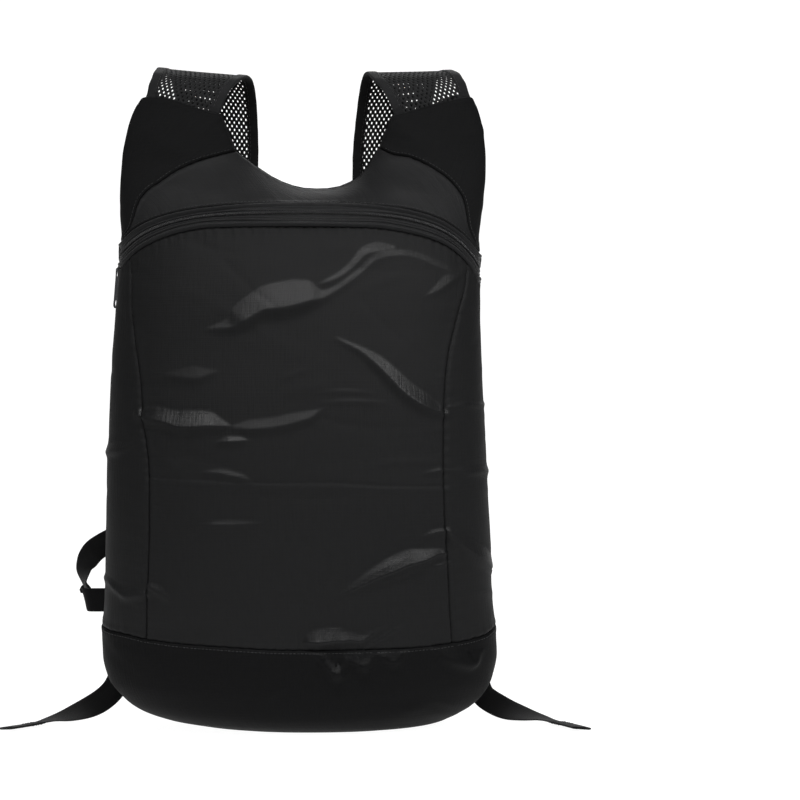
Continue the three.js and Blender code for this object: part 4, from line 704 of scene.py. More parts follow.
low_l = joined((stretch(zip_upper, 0, q0), 0.3), (between(end_of(zip_upper, q0), end_of(wl, 0)), 0.02), (wl, 0.68))
low_r = joined((wr, 0.68), (between(end_of(wr, 1), end_of(zip_upper, q1)), 0.02), (stretch(zip_upper, q1, 1), 0.3))
wing_top_l, wing_top_r = wing_top(WING_TOP_LEFT, -1), wing_top(WING_TOP_RIGHT, 1)
made["wing_left"] = panel("wing_cloth_left", between(end_of(low_l, 0), end_of(wing_top_l, 0)), backwards(stretch(nk, 0, neck_a)),
                          low_l, wing_top_l, 137, 89, pucker=(0.2, 0.15, 0.35, 0.25), seed=5, edge=(1, 1.25, 1, 1.25))
made["wing_right"] = panel("wing_cloth_right", stretch(nk, neck_b, 1), between(end_of(low_r, 1), end_of(wing_top_r, 1)),
                           low_r, wing_top_r, 137, 89, pucker=(0.15, 0.2, 0.35, 0.25), seed=6, edge=(1.25, 1, 1, 1.25))


# back panel, with the neck cut out of its top
def back_deg(x, z):
    n, u = sec["nBack"](z), np.clip((x - sec["cx"](z)) / sec["half"](z), -0.9999, 0.9999)
    a = np.abs(u)
    return 180 - np.degrees(np.arctan(a / (1 - a ** n) ** (1 / n))) * np.sign(u)


corner_l = (360 - BACK_SEAM_DEG, WING_TOP_LEFT["z"][0] - 0.5)
corner_r = (BACK_SEAM_DEG, WING_TOP_RIGHT["z"][-1] - 0.5)
first = t_at(top_outline, 0, float(bag_point(BACK_SEAM_DEG, corner_r[1])[0]))
last = t_at(top_outline, 0, float(bag_point(-BACK_SEAM_DEG, corner_l[1])[0]))


def back_top(t):
    t = np.asarray(t, float)
    x, z = top_outline(mix(first, last, t))
    e = np.where(t < 0.08, 1 - t / 0.08, np.where(t > 0.92, (t - 0.92) / 0.08, 0))
    cd, cz = np.where(t < 0.5, corner_r[0], corner_l[0]), np.where(t < 0.5, corner_r[1], corner_l[1])
    return mix(back_deg(x, z), cd, e), mix(z, cz, e)


back_bottom = base_row(BACK_SEAM_DEG, 360 - BACK_SEAM_DEG)
made["back_panel"] = panel("back_cloth", between(end_of(back_bottom, 0), end_of(back_top, 0)), between(end_of(back_bottom, 1), end_of(back_top, 1)),
                           back_bottom, back_top, 133, 185, pucker=(0.3, 0.3, 0.4, 0.3), seed=7, edge=(1, 1, 1, 1.25))


# base: a closed cup with a flat bottom
def base_cup():
    N, R, step = ((400, 81, 4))
    w = np.linspace(0, 1, R)
    deg = -180 + 360 * np.arange(N) / N
    top = base_z(deg)
    D = np.broadcast_to(deg, (R, N))
    W = w[:, None]
    Z = top[None, :] * (0.45 * W ** 2.4 + 0.55 * W)
    Z = np.where(W > 0.93, mix(Z, top, np.clip((W - 0.93) / 0.07, 0, 1) ** 0.7), Z)
    p = bag_point(D, Z)
    n = outward(D, Z)
    girth = wrap_girth(D, Z)
    d_top = (top[None, :] - Z)
    lift = cloth_height(D, p[..., 0], Z, girth) * np.clip(Z / 10, 0, 1)
    run = 3.0 * D
    lift = lift + 0.38 * np.exp(-d_top / 6) * waves(81, [9.0, 5.2, 3.6])(run) - 1.3 * np.exp(-((d_top / 0.80) ** 1.5)) + 0.5 * np.exp(-(((d_top - 3.2) / 2.2) ** 2))
    outer = p + n * lift[..., None]
    outer[..., 2] = np.maximum(outer[..., 2], 0)
    pole = np.array([13.0, -3.0, 0.0])
    under = [pole + (outer[0] - pole) * f for f in (0.12, 0.3, 0.5, 0.7, 0.86, 0.95)]
    outer = np.concatenate([np.array(under), outer])
    outer[:7, :, 2] = 0
    rows = outer.shape[0]
    inner = outer[::step].copy()
    nn = np.concatenate([np.tile([0, 0, -1.0], (6, N, 1)), n])[::step]
    inner = (inner - nn * WALL)[:, ::step]
    inner[..., 2] = np.maximum(inner[..., 2], WALL)
    if (rows - 1) % step:
        inner = np.concatenate([inner, (outer[-1] - n[-1] * WALL)[None, ::step]])
    ids = np.arange(rows * N).reshape(rows, N)
    ids = np.concatenate([ids, ids[:, :1]], 1)
    M = inner.shape[1]
    lid = rows * N + np.arange(inner.shape[0] * M).reshape(inner.shape[0], M)
    lid = np.concatenate([lid, lid[:, :1]], 1)
    po = rows * N + inner.shape[0] * M
    tri = [(po, ids[0, j + 1], ids[0, j]) for j in range(N)] + [(po + 1, lid[0, j], lid[0, j + 1]) for j in range(M)]
    for j in range(M):
        a, b, run_ = lid[-1, j], lid[-1, j + 1], ids[-1, j * step:(j + 1) * step + 1]
        half = step // 2
        for i in range(step):
            tri.append((a if i < half else b, run_[i], run_[i + 1]))
        tri.append((a, run_[half], b))
    verts = np.concatenate([outer.reshape(-1, 3), inner.reshape(-1, 3), [pole, pole + [0, 0, WALL]]])
    uo = np.concatenate([np.stack([outer[:6, :, 0], outer[:6, :, 1]], -1), np.stack([girth, Z * 1.25], -1)])
    uv = np.concatenate([uo.reshape(-1, 2), inner.reshape(-1, 3)[:, :2], [[0, 0], [0, 0]]])
    gloss_and_painted_light = facets(p[..., 0], Z)[1] * np.clip((100 - np.abs(D)) / 12, 0, 1)
    gloss_and_painted_light = np.concatenate([np.zeros(6 * N), gloss_and_painted_light.ravel(), np.zeros(len(verts) - rows * N)])
    return add_mesh("base_cloth", verts, [quads(ids), quads(lid, True), np.array(tri)], uv, gloss_and_painted_light=gloss_and_painted_light)


made["base_panel"] = base_cup()


# ---------------------------------------------------------------- straps
def spread(rows, keys, count):
    x = rows["x"] if "x" in rows else (rows["xIn"] + rows["xOut"]) / 2
    z = rows["z"] if "z" in rows else (rows["zIn"] + rows["zOut"]) / 2
    s = np.concatenate([[0], np.cumsum(np.sqrt(np.diff(x) ** 2 + np.diff(rows["y"]) ** 2 + np.diff(z) ** 2))])
    t = np.linspace(0, s[-1], count)
    return {k: smooth(s, rows[k])(t) for k in keys}, s[-1]


def unit(v):
    return v / np.maximum(1e-9, np.linalg.norm(v, axis=-1, keepdims=True))


class Band:
    """A strap's frame along its length: a point by u (mm along), v (mm across from its inner edge) and h (off its face)."""

    def __init__(self, sign, count=240):
        r, _ = spread(STRAP, ["xIn", "zIn", "xOut", "zOut", "y"], count)
        if sign > 0:
            t = np.linspace(0, 1, count)
            f = {k: smooth(STRAP_SHIFT_RIGHT["at"], STRAP_SHIFT_RIGHT[k])(t) for k in ("xIn", "zIn", "xOut", "zOut")}
            r = {"xIn": -r["xIn"] + f["xIn"], "zIn": r["zIn"] + f["zIn"], "xOut": -r["xOut"] + f["xOut"], "zOut": r["zOut"] + f["zOut"], "y": r["y"]}
        inn = np.stack([r["xIn"], r["y"], r["zIn"]], -1)
        out = np.stack([r["xOut"], r["y"], r["zOut"]], -1)
        mid = (inn + out) / 2
        self.inn, self.wide = inn, np.linalg.norm(out - inn, axis=-1)
        self.w = unit(out - inn)
        self.face = unit(np.cross(np.gradient(mid, axis=0), self.w)) * (1 if sign < 0 else -1)
        self.s = np.concatenate([[0], np.cumsum(np.linalg.norm(np.diff(mid, axis=0), axis=-1))])
        self.long = self.s[-1]

        # it goes on 12 mm further down, inside the wing's top seam
        start = unit(np.gradient(mid, axis=0)[:1])
        self.inn = np.concatenate([self.inn[:1] - start * 12, self.inn])
        self.w, self.face = np.concatenate([self.w[:1], self.w]), np.concatenate([self.face[:1], self.face])
        self.wide, self.s = np.concatenate([self.wide[:1], self.wide]), np.concatenate([[-12.0], self.s])

    def row(self, name, u):
        a = getattr(self, name)
        if a.ndim == 1:
            return np.interp(u, self.s, a)
        return np.stack([np.interp(u, self.s, a[:, k]) for k in range(3)], -1)

    def at(self, u, v, h):
        u, v, h = np.broadcast_arrays(np.asarray(u, float), np.asarray(v, float), np.asarray(h, float))
        return self.row("inn", u) + unit(self.row("w", u)) * v[..., None] + unit(self.row("face", u)) * h[..., None]


def mesh_strap(name, band):
    """Open mesh: six-sided cells with long holes, in staggered rows."""
    ACROSS, ALONG, RV, RU, T = 4.0, 3.15, 0.66, 1.14, 0.58
    cells, corner, verts, uvs, quad = [], {}, [], [], []
    rows_ = int(band.long / ALONG)

    def vert(u, v, h):
        key = (round(u, 2), round(v, 2), h)
        if key not in corner:
            corner[key] = len(verts)
            verts.append((u, v, h))
        return corner[key]

    hexagon = [(0.0, -2 * ALONG / 3), (0.5, -ALONG / 3), (0.5, ALONG / 3), (0.0, 2 * ALONG / 3), (-0.5, ALONG / 3), (-0.5, -ALONG / 3)]
    edges = {}
    for i in range(-3, rows_):
        u = i * ALONG + 1.0
        wide = float(band.row("wide", u))
        lo, hi = BIND_WIDE - 2.6, wide - BIND_WIDE + 2.6
        shift = 0.5 * (i % 2)
        for c in range(int(lo / ACROSS) - 1, int(hi / ACROSS) + 2):
            v = (c + shift) * ACROSS
            if not lo <= v <= hi:
                continue
            hx = [(u + b, v + a * ACROSS) for a, b in hexagon]
            ring = []
            for k in range(6):
                ang = math.pi / 3 * k - math.pi / 2
                ring.append((u + RU * math.sin(ang), v + RV * math.cos(ang)))
            top = [vert(a, b, T) for a, b in hx]
            low = [vert(a, b, -T) for a, b in hx]
            rt, rb = [], []
            for a, b in ring:
                verts.append((a, b, T * 0.62)); rt.append(len(verts) - 1)
                verts.append((a, b, -T * 0.62)); rb.append(len(verts) - 1)
            for k in range(6):
                m = (k + 1) % 6
                quad.append((top[k], top[m], rt[m], rt[k]))
                quad.append((rt[k], rt[m], rb[m], rb[k]))
                quad.append((rb[k], rb[m], low[m], low[k]))
                e = tuple(sorted((top[k], top[m])))
                edges.setdefault(e, []).append((top[k], top[m], low[k], low[m]))
    for e, uses in edges.items():
        if len(uses) == 1:
            a, b, c, d = uses[0]
            quad.append((b, a, c, d))
    v = np.array(verts)
    wob = 0.16 * waves(41, [11.0, 7.0])(v[:, 0]) * np.sin(v[:, 1] / 9)
    pts = band.at(v[:, 0], v[:, 1], v[:, 2] + wob)
    # Its near face is marked 1 and its far face 0, so the material paints the far face in shade.
    return add_mesh(name, pts, [np.array(quad)], np.stack([v[:, 0], v[:, 1]], -1), gloss_and_painted_light=np.clip(0.5 + v[:, 2] / T, 0, 1))


def ring_mesh(name, rings, uv, caps=True, gloss_and_painted_light=None):
    """Closed rings of points, one after another, with flat ends."""
    R, C = rings.shape[:2]
    ids = np.arange(R * C).reshape(R, C)
    ids = np.concatenate([ids, ids[:, :1]], 1)
    faces = [quads(ids)]
    verts, uvs = rings.reshape(-1, 3), uv.reshape(-1, 2)
    if caps:
        m0, m1 = rings[0].mean(0), rings[-1].mean(0)
        a = len(verts)
        verts, uvs = np.concatenate([verts, [m0, m1]]), np.concatenate([uvs, [uv[0].mean(0), uv[-1].mean(0)]])
        faces.append(np.array([(a, ids[0, j + 1], ids[0, j]) for j in range(C)] + [(a + 1, ids[-1, j], ids[-1, j + 1]) for j in range(C)]))
    if gloss_and_painted_light is not None:
        gloss_and_painted_light = np.concatenate([gloss_and_painted_light.ravel(), [0, 0]])
    return add_mesh(name, verts, faces, uvs, gloss_and_painted_light=gloss_and_painted_light)


def rounded(n, a, b, power=3.2):
    """A rounded flat outline of n points, half sizes a and b."""
    t = 2 * np.pi * (np.arange(n) + 0.5) / n
    c, s = np.cos(t), np.sin(t)
    r = (np.abs(c) ** power + np.abs(s) ** power) ** (-1 / power)
    return a * r * c, b * r * s


def binding(name, band, inner, seed):
    n = 300
    u = np.linspace(-11.0, band.long, n)[:, None]
    a, b = rounded(24, BIND_WIDE / 2, 1.32, 5.0)
    b = b[None, :] * np.clip(0.55 + (u + 2) / 8, 0.55, 1)
    wv = waves(seed, [17.0, 9.0])(u) * 0.16
    wide = band.row("wide", u[:, 0])[:, None]
    centre = BIND_WIDE / 2 if inner else wide - BIND_WIDE / 2
    # a stitched groove runs near the tape's own edge, on both faces
    across = (a if inner else -a)[None, :]
    groove = 1 - 0.20 * np.exp(-(((across - 2.5) / 0.6) ** 2)) + 0.05 * waves(seed + 1, [4.1, 2.9])(u) * (across > 1)
    v = centre + a[None, :] + 0.5 * wv
    h = b * groove + wv
    pts = band.at(np.broadcast_to(u, v.shape), v, h)
    uv = np.stack([np.broadcast_to(u, v.shape), np.broadcast_to(a[None, :] + 2 * b, v.shape)], -1)
    # The face towards the light is marked 1 and the other 0; the material paints the other face in shade.
    painted_lit_face = np.clip(0.5 + b / 1.3, 0, 1) + 0 * v
    return ring_mesh(name, pts[:, ::-1], uv[:, ::-1], gloss_and_painted_light=painted_lit_face[:, ::-1])


bands = {"left": Band(-1), "right": Band(1)}
for k_, (side_, band) in enumerate(bands.items()):
    made["strap_" + side_] = mesh_strap("strap_mesh_" + side_, band)
    made["strap_binding_%s_inner" % side_] = binding("binding_%s_inner" % side_, band, True, 51 + k_)
    made["strap_binding_%s_outer" % side_] = binding("binding_%s_outer" % side_, band, False, 61 + k_)


# ---------------------------------------------------------------- webbing
def lock_frame(sign):
    a = math.radians(LOCK_LEAN)
    u = unit(np.array([sign * math.sin(a), -0.04, -math.cos(a)]))
    n = unit(np.array([0, 1.0, 0]) - u * u[1])
    v = unit(np.cross(n, u))
    o = np.array([-sign * LOCK_X, LOCK_Y, LOCK_Z])
    return u, v, n, o


def around(f, centre, way, reach_a, reach_b, turn=TURN, steps=10):
    u, v, n, o = f
    out = [o + u * (centre + way * reach_a) - n * turn]
    for i in range(steps + 1):
        t = math.pi * i / steps
        out.append(o + u * (centre - way * turn * math.sin(t)) - n * turn * math.cos(t))
    out.append(o + u * (centre + way * reach_b) + n * turn)
    return out


def faced(x, y, z, twist):
    p = np.stack([x, y, z], -1)
    T = np.empty_like(p)
    T[1:-1], T[0], T[-1] = p[2:] - p[:-2], p[1] - p[0], p[-1] - p[-2]
    T = unit(T)
    flat = unit(np.stack([T[:, 2], 0 * T[:, 0], -T[:, 0]], -1))
    Y = unit(np.array([0, 1.0, 0]) - T * T[:, 1:2])
    flat = np.where(flat[:, :1] > 0, -flat, flat)
    c, s = np.cos(np.radians(twist))[:, None], np.sin(np.radians(twist))[:, None]
    return p, flat * c + Y * s


def webbing_path(sign):
    f = lock_frame(sign)
    at, across = [], []

    def add(p, a):
        a = np.asarray(a, float)
        if across and np.dot(a, across[-1]) < 0:
            a = -a
        at.append(np.asarray(p, float))
        across.append(a)

    if sign < 0:
        axis, r = unit(np.array([LOOP_AXIS[0], 0, LOOP_AXIS[1]])), LOOP_RADIUS
        out_x = np.array([-1.0, 0, 0])
        along = float(out_x @ axis)
        lean = math.sqrt(1 - along * along)
        from_axis = unit(out_x - axis * along)
        up = np.array([0, 0, 1.0])
        add([-152.0, LOOP_Y - 0.8, LOOP_Z], up)
        add([-155.9, LOOP_Y - 0.8, LOOP_Z], up)
        add([-162.5, LOOP_Y - 0.3, LOOP_Z], up)
        foot = np.array([LOOP_TURN_X, LOOP_Y, LOOP_Z])
        steps, turn_long = 12, math.pi * r / lean
        for i in range(steps + 1):
            t = math.pi * i / steps
            p = foot + axis * (turn_long * along * i / steps) + from_axis * r * math.sin(t) + np.array([0, r * (1 - math.cos(t)), 0])
            T = unit(axis * along + from_axis * lean * math.cos(t) + np.array([0, lean * math.sin(t), 0]))
            N = from_axis * math.sin(t) + np.array([0, -math.cos(t), 0])
            add(p, unit(np.cross(T, N)))
        x = np.concatenate([[at[-1][0]], RISE_LEFT["x"]])
        y = np.concatenate([[at[-1][1]], RISE_LEFT["y"]])
        z = np.concatenate([[at[-1][2]], RISE_LEFT["z"]])
        p, a = faced(x, y, z, np.concatenate([[80], RISE_LEFT["twist"]]))
        for i in range(1, len(p)):
            add(p[i], a[i])
    else:
        add([152.0, 31.5, 110], [0, 0, 1])
        for x, y, z, t in zip(*(RISE_RIGHT[k] for k in ("x", "y", "z", "turn"))):
            add([x, y, z], [math.sin(math.radians(t)), 0, math.cos(math.radians(t))])
    for p in around(f, 1.0, 1, 13, 15):
        add(p, f[1])
    table = TAIL_LEFT if sign < 0 else TAIL_RIGHT
    r, _ = spread(table, ["x", "y", "z", "twist"], 60)
    p, a = faced(r["x"], r["y"], r["z"], r["twist"])
    for i in range(len(p)):
        add(p[i], a[i])
    return np.array(at), np.array(across)


def webbing(name, sign):
    at, across = webbing_path(sign)
    s = np.concatenate([[0], np.cumsum(np.linalg.norm(np.diff(at, axis=0), axis=-1))])
    step = 0.7
    t = np.linspace(0, s[-1], int(s[-1] / step))
    p = np.stack([smooth(s, at[:, k])(t) for k in range(3)], -1)
    a = unit(np.stack([np.interp(t, s, across[:, k]) for k in range(3)], -1))
    for _ in range(5):
        a[1:-1] = unit(a[:-2] + 2 * a[1:-1] + a[2:])
        p[1:-1] = (p[:-2] + 2 * p[1:-1] + p[2:]) / 4
    T = unit(np.gradient(p, axis=0))
    a = unit(a - T * (a * T).sum(-1, keepdims=True))
    face = np.cross(T, a)
    left = (s[-1] - t)[:, None]
    thick = np.where(left < HEM_LONG, HEM_THICK, WEB_THICK) / 2
    low = np.abs(a[:, 2]) * WEB_WIDE / 2 + np.abs(face[:, 2]) * thick[:, 0] + 0.05
    p[:, 2] = np.maximum(p[:, 2], low)
    n = 32
    ca, cb = rounded(n, 1.0, 1.0, 5.0)
    # the weave: slanting ribs in narrow columns
    v = ca[None, :] * WEB_WIDE / 2
    u = t[:, None]
    col = np.floor(v / 2.0)
    rib = 0.5 + 0.5 * np.cos(2 * math.pi * (u / 1.55 + 0.5 * (col % 2)))
    rib = rib * (0.45 + 0.55 * np.abs(np.cos(math.pi * v / 2.0)))
    rib = rib * np.clip((9.3 - np.abs(v)) / 0.8, 0, 1)
    stitch = ((left < HEM_LONG) & (left > HEM_LONG - 12) & (np.abs(v) < 8.2)) * -0.06
    h = cb[None, :] * (thick + 0.16 * rib + stitch)
    edge = v * (1 - 0.006 * (0.5 + 0.5 * np.cos(2 * math.pi * u / 1.55)))
    pts = p[:, None, :] + a[:, None, :] * edge[..., None] + face[:, None, :] * h[..., None]
    uv = np.stack([np.broadcast_to(u, v.shape if v.shape[0] > 1 else (len(t), n)), np.broadcast_to(v, (len(t), n)) + 0 * u], -1)
    return ring_mesh(name, pts[:, ::-1], uv[:, ::-1]), p, a, face, t, s[-1]


webs = {}
for side_, sign in (("left", -1), ("right", 1)):
    webs[side_] = webbing("webbing_strip_" + side_, sign)
    made["webbing_" + side_] = webs[side_][0]


def lock_loop(name, sign):
    f = lock_frame(sign)
    pts = np.array(around(f, -10.4, -1, 14, 14, 3.1, 12))
    s = np.concatenate([[0], np.cumsum(np.linalg.norm(np.diff(pts, axis=0), axis=-1))])
    t = np.linspace(0, s[-1], 90)
    p = np.stack([np.interp(t, s, pts[:, k]) for k in range(3)], -1)
    for _ in range(2):
        p[1:-1] = (p[:-2] + 2 * p[1:-1] + p[2:]) / 4
    T = unit(np.gradient(p, axis=0))
    a = np.broadcast_to(f[1], p.shape)
    face = np.cross(T, a)
    ca, cb = rounded(36, 1.0, 1.0, 5.0)
    v, u = ca[None, :] * WEB_WIDE / 2, t[:, None]
    rib = (0.5 + 0.5 * np.cos(2 * math.pi * (u / 1.55 + 0.5 * (np.floor(v / 2.0) % 2)))) * np.clip((9.3 - np.abs(v)) / 0.8, 0, 1)
    h = cb[None, :] * (WEB_THICK / 2 + 0.12 * rib)
    q = p[:, None, :] + a[:, None, :] * (v + 0 * u)[..., None] + face[:, None, :] * h[..., None]
    uv = np.stack([u + 0 * v, v + 0 * u], -1)
    return ring_mesh(name, q[:, ::-1], uv[:, ::-1])


made["lock_loop_left"], made["lock_loop_right"] = lock_loop("lock_tape_left", -1), lock_loop("lock_tape_right", 1)


# ---------------------------------------------------------------- hard pieces: the solids' own shapes, with their edges eased
def eased(name, node, width, segments, body="bag"):
    src = frame["nodes"][node]
    me = src.data.copy()
    me.name = name
    ob = bpy.data.objects.new(name, me)
    bpy.context.scene.collection.objects.link(ob)
    weld = ob.modifiers.new("weld", "WELD")
    weld.merge_threshold = 0.00001
    bev = ob.modifiers.new("ease", "BEVEL")
    bev.width, bev.segments, bev.limit_method, bev.angle_limit = width, segments, "ANGLE", math.radians(28)
    bev.use_clamp_overlap = True
    me.polygons.foreach_set("use_smooth", np.ones(len(me.polygons), bool))
    norm = ob.modifiers.new("normals", "WEIGHTED_NORMAL")
    norm.keep_sharp = False
    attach(ob, body)
    return ob


made["ladder_lock_left"] = eased("lock_frame_left", "ladder_lock_left", 0.0007, 3)
made["ladder_lock_right"] = eased("lock_frame_right", "ladder_lock_right", 0.0007, 3)
made["zip_slider"] = eased("slider_body", "zip_slider", 0.00028, 3)
made["zip_pull"] = eased("pull_tab", "zip_pull", 0.00025, 3, body="zip_pull")


# ---------------------------------------------------------------- small repeated pieces: zip teeth and stitches
def pills(name, at, along, up, long, wide, high, sides=6):
    """Many small rounded bars in one mesh: at each point, along its own direction."""
    at, along, up = np.asarray(at, float), unit(np.asarray(along, float)), np.asarray(up, float)
    up = unit(up - along * (up * along).sum(-1, keepdims=True))
    sidew = np.cross(along, up)
    prof = [(-0.5, 0.35), (-0.36, 0.85), (0.0, 1.0), (0.36, 0.85), (0.5, 0.35)]
    rings = []
    for l, r in prof:
        for k_ in range(sides):
            t = 2 * math.pi * k_ / sides
            rings.append(at + along * (l * long) + sidew * (r * wide / 2 * math.cos(t)) + up * (r * high / 2 * math.sin(t)))
    V = np.stack(rings, 1)
    m = len(prof)
    f4 = []
    for i in range(m - 1):
        for k_ in range(sides):
            b = (k_ + 1) % sides
            f4.append((i * sides + k_, i * sides + b, (i + 1) * sides + b, (i + 1) * sides + k_))
    caps = [tuple(range(sides))[::-1], tuple((m - 1) * sides + k_ for k_ in range(sides))]
    off = np.arange(len(at))[:, None, None] * (m * sides)
    F4 = (np.array(f4)[None] + off).reshape(-1, 4)
    FC = (np.array(caps)[None] + off).reshape(-1, sides)
    # outward facing: sides run the other way round for this frame
    uv = np.stack([np.repeat(np.arange(len(at)) * 1.0, m * sides), np.zeros(len(at) * m * sides)], -1)
    return add_mesh(name, V.reshape(-1, 3), [F4[:, ::-1], FC[:, ::-1]], uv)


def on_cloth(deg, z, lift):
    p = bag_point(deg, z)
    n = outward(deg, z)
    h = cloth_height(deg, p[..., 0], z, wrap_girth(deg, z))
    return p, n, h + lift


def along_seam(f, pitch, t_from=0.0, t_to=1.0, drop=0.0):
    """Points every pitch mm along a seam, drop mm above it (below where negative)."""
    t = np.linspace(t_from, t_to, 1500)
    deg, z = f(t)
    p = bag_point(deg, z)
    s = np.concatenate([[0], np.cumsum(np.linalg.norm(np.diff(p, axis=0), axis=-1))])
    u = np.arange(pitch / 2, s[-1], pitch)
    tt = np.interp(u, s, t)
    deg, z = f(tt)
    if drop:
        q = bag_point(deg, z)
        d2, z2 = f(np.clip(tt + 0.002, 0, 1))
        d1, z1 = f(np.clip(tt - 0.002, 0, 1))
        run = unit(bag_point(d2, z2) - bag_point(d1, z1))
        side = unit(np.cross(outward(deg, z), run))
        # one step in (deg, z) that moves drop mm to the side of the seam
        ed = bag_point(deg + 0.5, z) - q
        ez = bag_point(deg, z + 0.5) - q
        a11, a12, a22 = (ed * ed).sum(-1), (ed * ez).sum(-1), (ez * ez).sum(-1)
        b1_, b2_ = (ed * side).sum(-1) * drop, (ez * side).sum(-1) * drop
        det = a11 * a22 - a12 * a12
        deg, z = deg + 0.5 * (a22 * b1_ - a12 * b2_) / det, z + 0.5 * (a11 * b2_ - a12 * b1_) / det
    return deg, z


def stitches(name, f, pitch=3.1, long=2.3, drop=0.0, lift=0.12, folds=1.0, t_from=0.0, t_to=1.0, thick=0.55):
    deg, z = along_seam(f, pitch, t_from, t_to, drop)
    p = bag_point(deg, z)
    n = outward(deg, z)
    h = folds * cloth_height(deg, p[:, 0], z, wrap_girth(deg, z)) + lift
    q = p + n * h[:, None]
    return pills(name, q, np.gradient(q, axis=0), n, long, thick, 0.42, sides=5)


threads = [
    stitches("stitch_base", base_row(-118, 118), drop=-2.4, lift=0.42),
    stitches("stitch_zip_lower", zip_lower, drop=1.9, folds=0.35, lift=1.15),
    stitches("stitch_zip_lower_2", zip_lower, drop=6.5, folds=0.35, lift=0.55),
    stitches("stitch_zip_upper", zip_upper, drop=2.2, lift=0.30),
    stitches("stitch_wing_left", wl, drop=2.1, lift=0.32),
    stitches("stitch_wing_right", wr, drop=2.1, lift=0.32),
]


def coil_teeth():
    t = np.linspace(0, 1, 3000)
    lo, hi = zip_between(COIL_LOW), zip_between(COIL_HIGH)
    (d0, z0), (d1, z1) = lo(t), hi(t)
    mid = bag_point((d0 + d1) / 2, (z0 + z1) / 2)
    s = np.concatenate([[0], np.cumsum(np.linalg.norm(np.diff(mid, axis=0), axis=-1))])
    out_p, out_a, out_n = [], [], []
    for side_k, share in ((0, 0.36), (1, 0.64)):
        u = np.arange(0.5 + 0.6 * side_k, s[-1] - 0.5, 1.35)
        tt = np.interp(u, s, t)
        (a0, b0_), (a1, b1_) = lo(tt), hi(tt)
        deg, z = mix(a0, a1, share), mix(b0_, b1_, share)
        p, n = bag_point(deg, z), outward(deg, z)
        across = unit(bag_point(a1, b1_) - bag_point(a0, b0_))
        h = 0.35 * cloth_height(deg, p[:, 0], z, wrap_girth(deg, z)) + 0.75
        out_p.append(p + n * h[:, None]); out_a.append(across); out_n.append(n)
    return pills("zip_teeth", np.concatenate(out_p), np.concatenate(out_a), np.concatenate(out_n), 2.1, 0.95, 1.0, sides=6)


teeth = coil_teeth()


def band_stitches(name, band, inner, face_sign, pitch=3.4):
    u = np.arange(3, band.long - 2, pitch)
    wide = band.row("wide", u)
    v = np.where(inner, BIND_WIDE / 2 + 2.5, wide - BIND_WIDE / 2 - 2.5)
    q = band.at(u, v, np.full(u.shape, face_sign * 1.22))
    return pills(name, q, np.gradient(q, axis=0), band.row("face", u) * face_sign, 2.4, 0.6, 0.5, sides=5)


for side_, band in bands.items():
    for inner in (True, False):
        for fs in (1, -1):
            threads.append(band_stitches("stitch_binding_%s_%s_%s" % (side_, "in" if inner else "out", "a" if fs > 0 else "b"), band, inner, fs))


def hem_stitches(name, web):
    _, p, a, face, t, total = web
    pts, run, up = [], [], []
    for fs in (1, -1):
        for v in np.arange(-7.5, 7.6, 2.5):
            for x in (HEM_LONG - 2.0, HEM_LONG - 11.0):
                k_ = int(np.clip(np.searchsorted(t, total - x), 0, len(t) - 1))
                pts.append(p[k_] + a[k_] * v + face[k_] * fs * (HEM_THICK / 2 + 0.16)); run.append(a[k_]); up.append(face[k_] * fs)
        for x in np.arange(HEM_LONG - 10.0, HEM_LONG - 2.2, 2.4):
            for v in (-7.5, 7.5):
                k_ = int(np.clip(np.searchsorted(t, total - x), 0, len(t) - 1))
                T = p[min(k_ + 1, len(p) - 1)] - p[k_ - 1]
                pts.append(p[k_] + a[k_] * v + face[k_] * fs * (HEM_THICK / 2 + 0.16)); run.append(T); up.append(face[k_] * fs)
    return pills(name, pts, run, up, 2.0, 0.55, 0.4, sides=5)


threads.append(hem_stitches("stitch_hem_left", webs["left"]))
threads.append(hem_stitches("stitch_hem_right", webs["right"]))


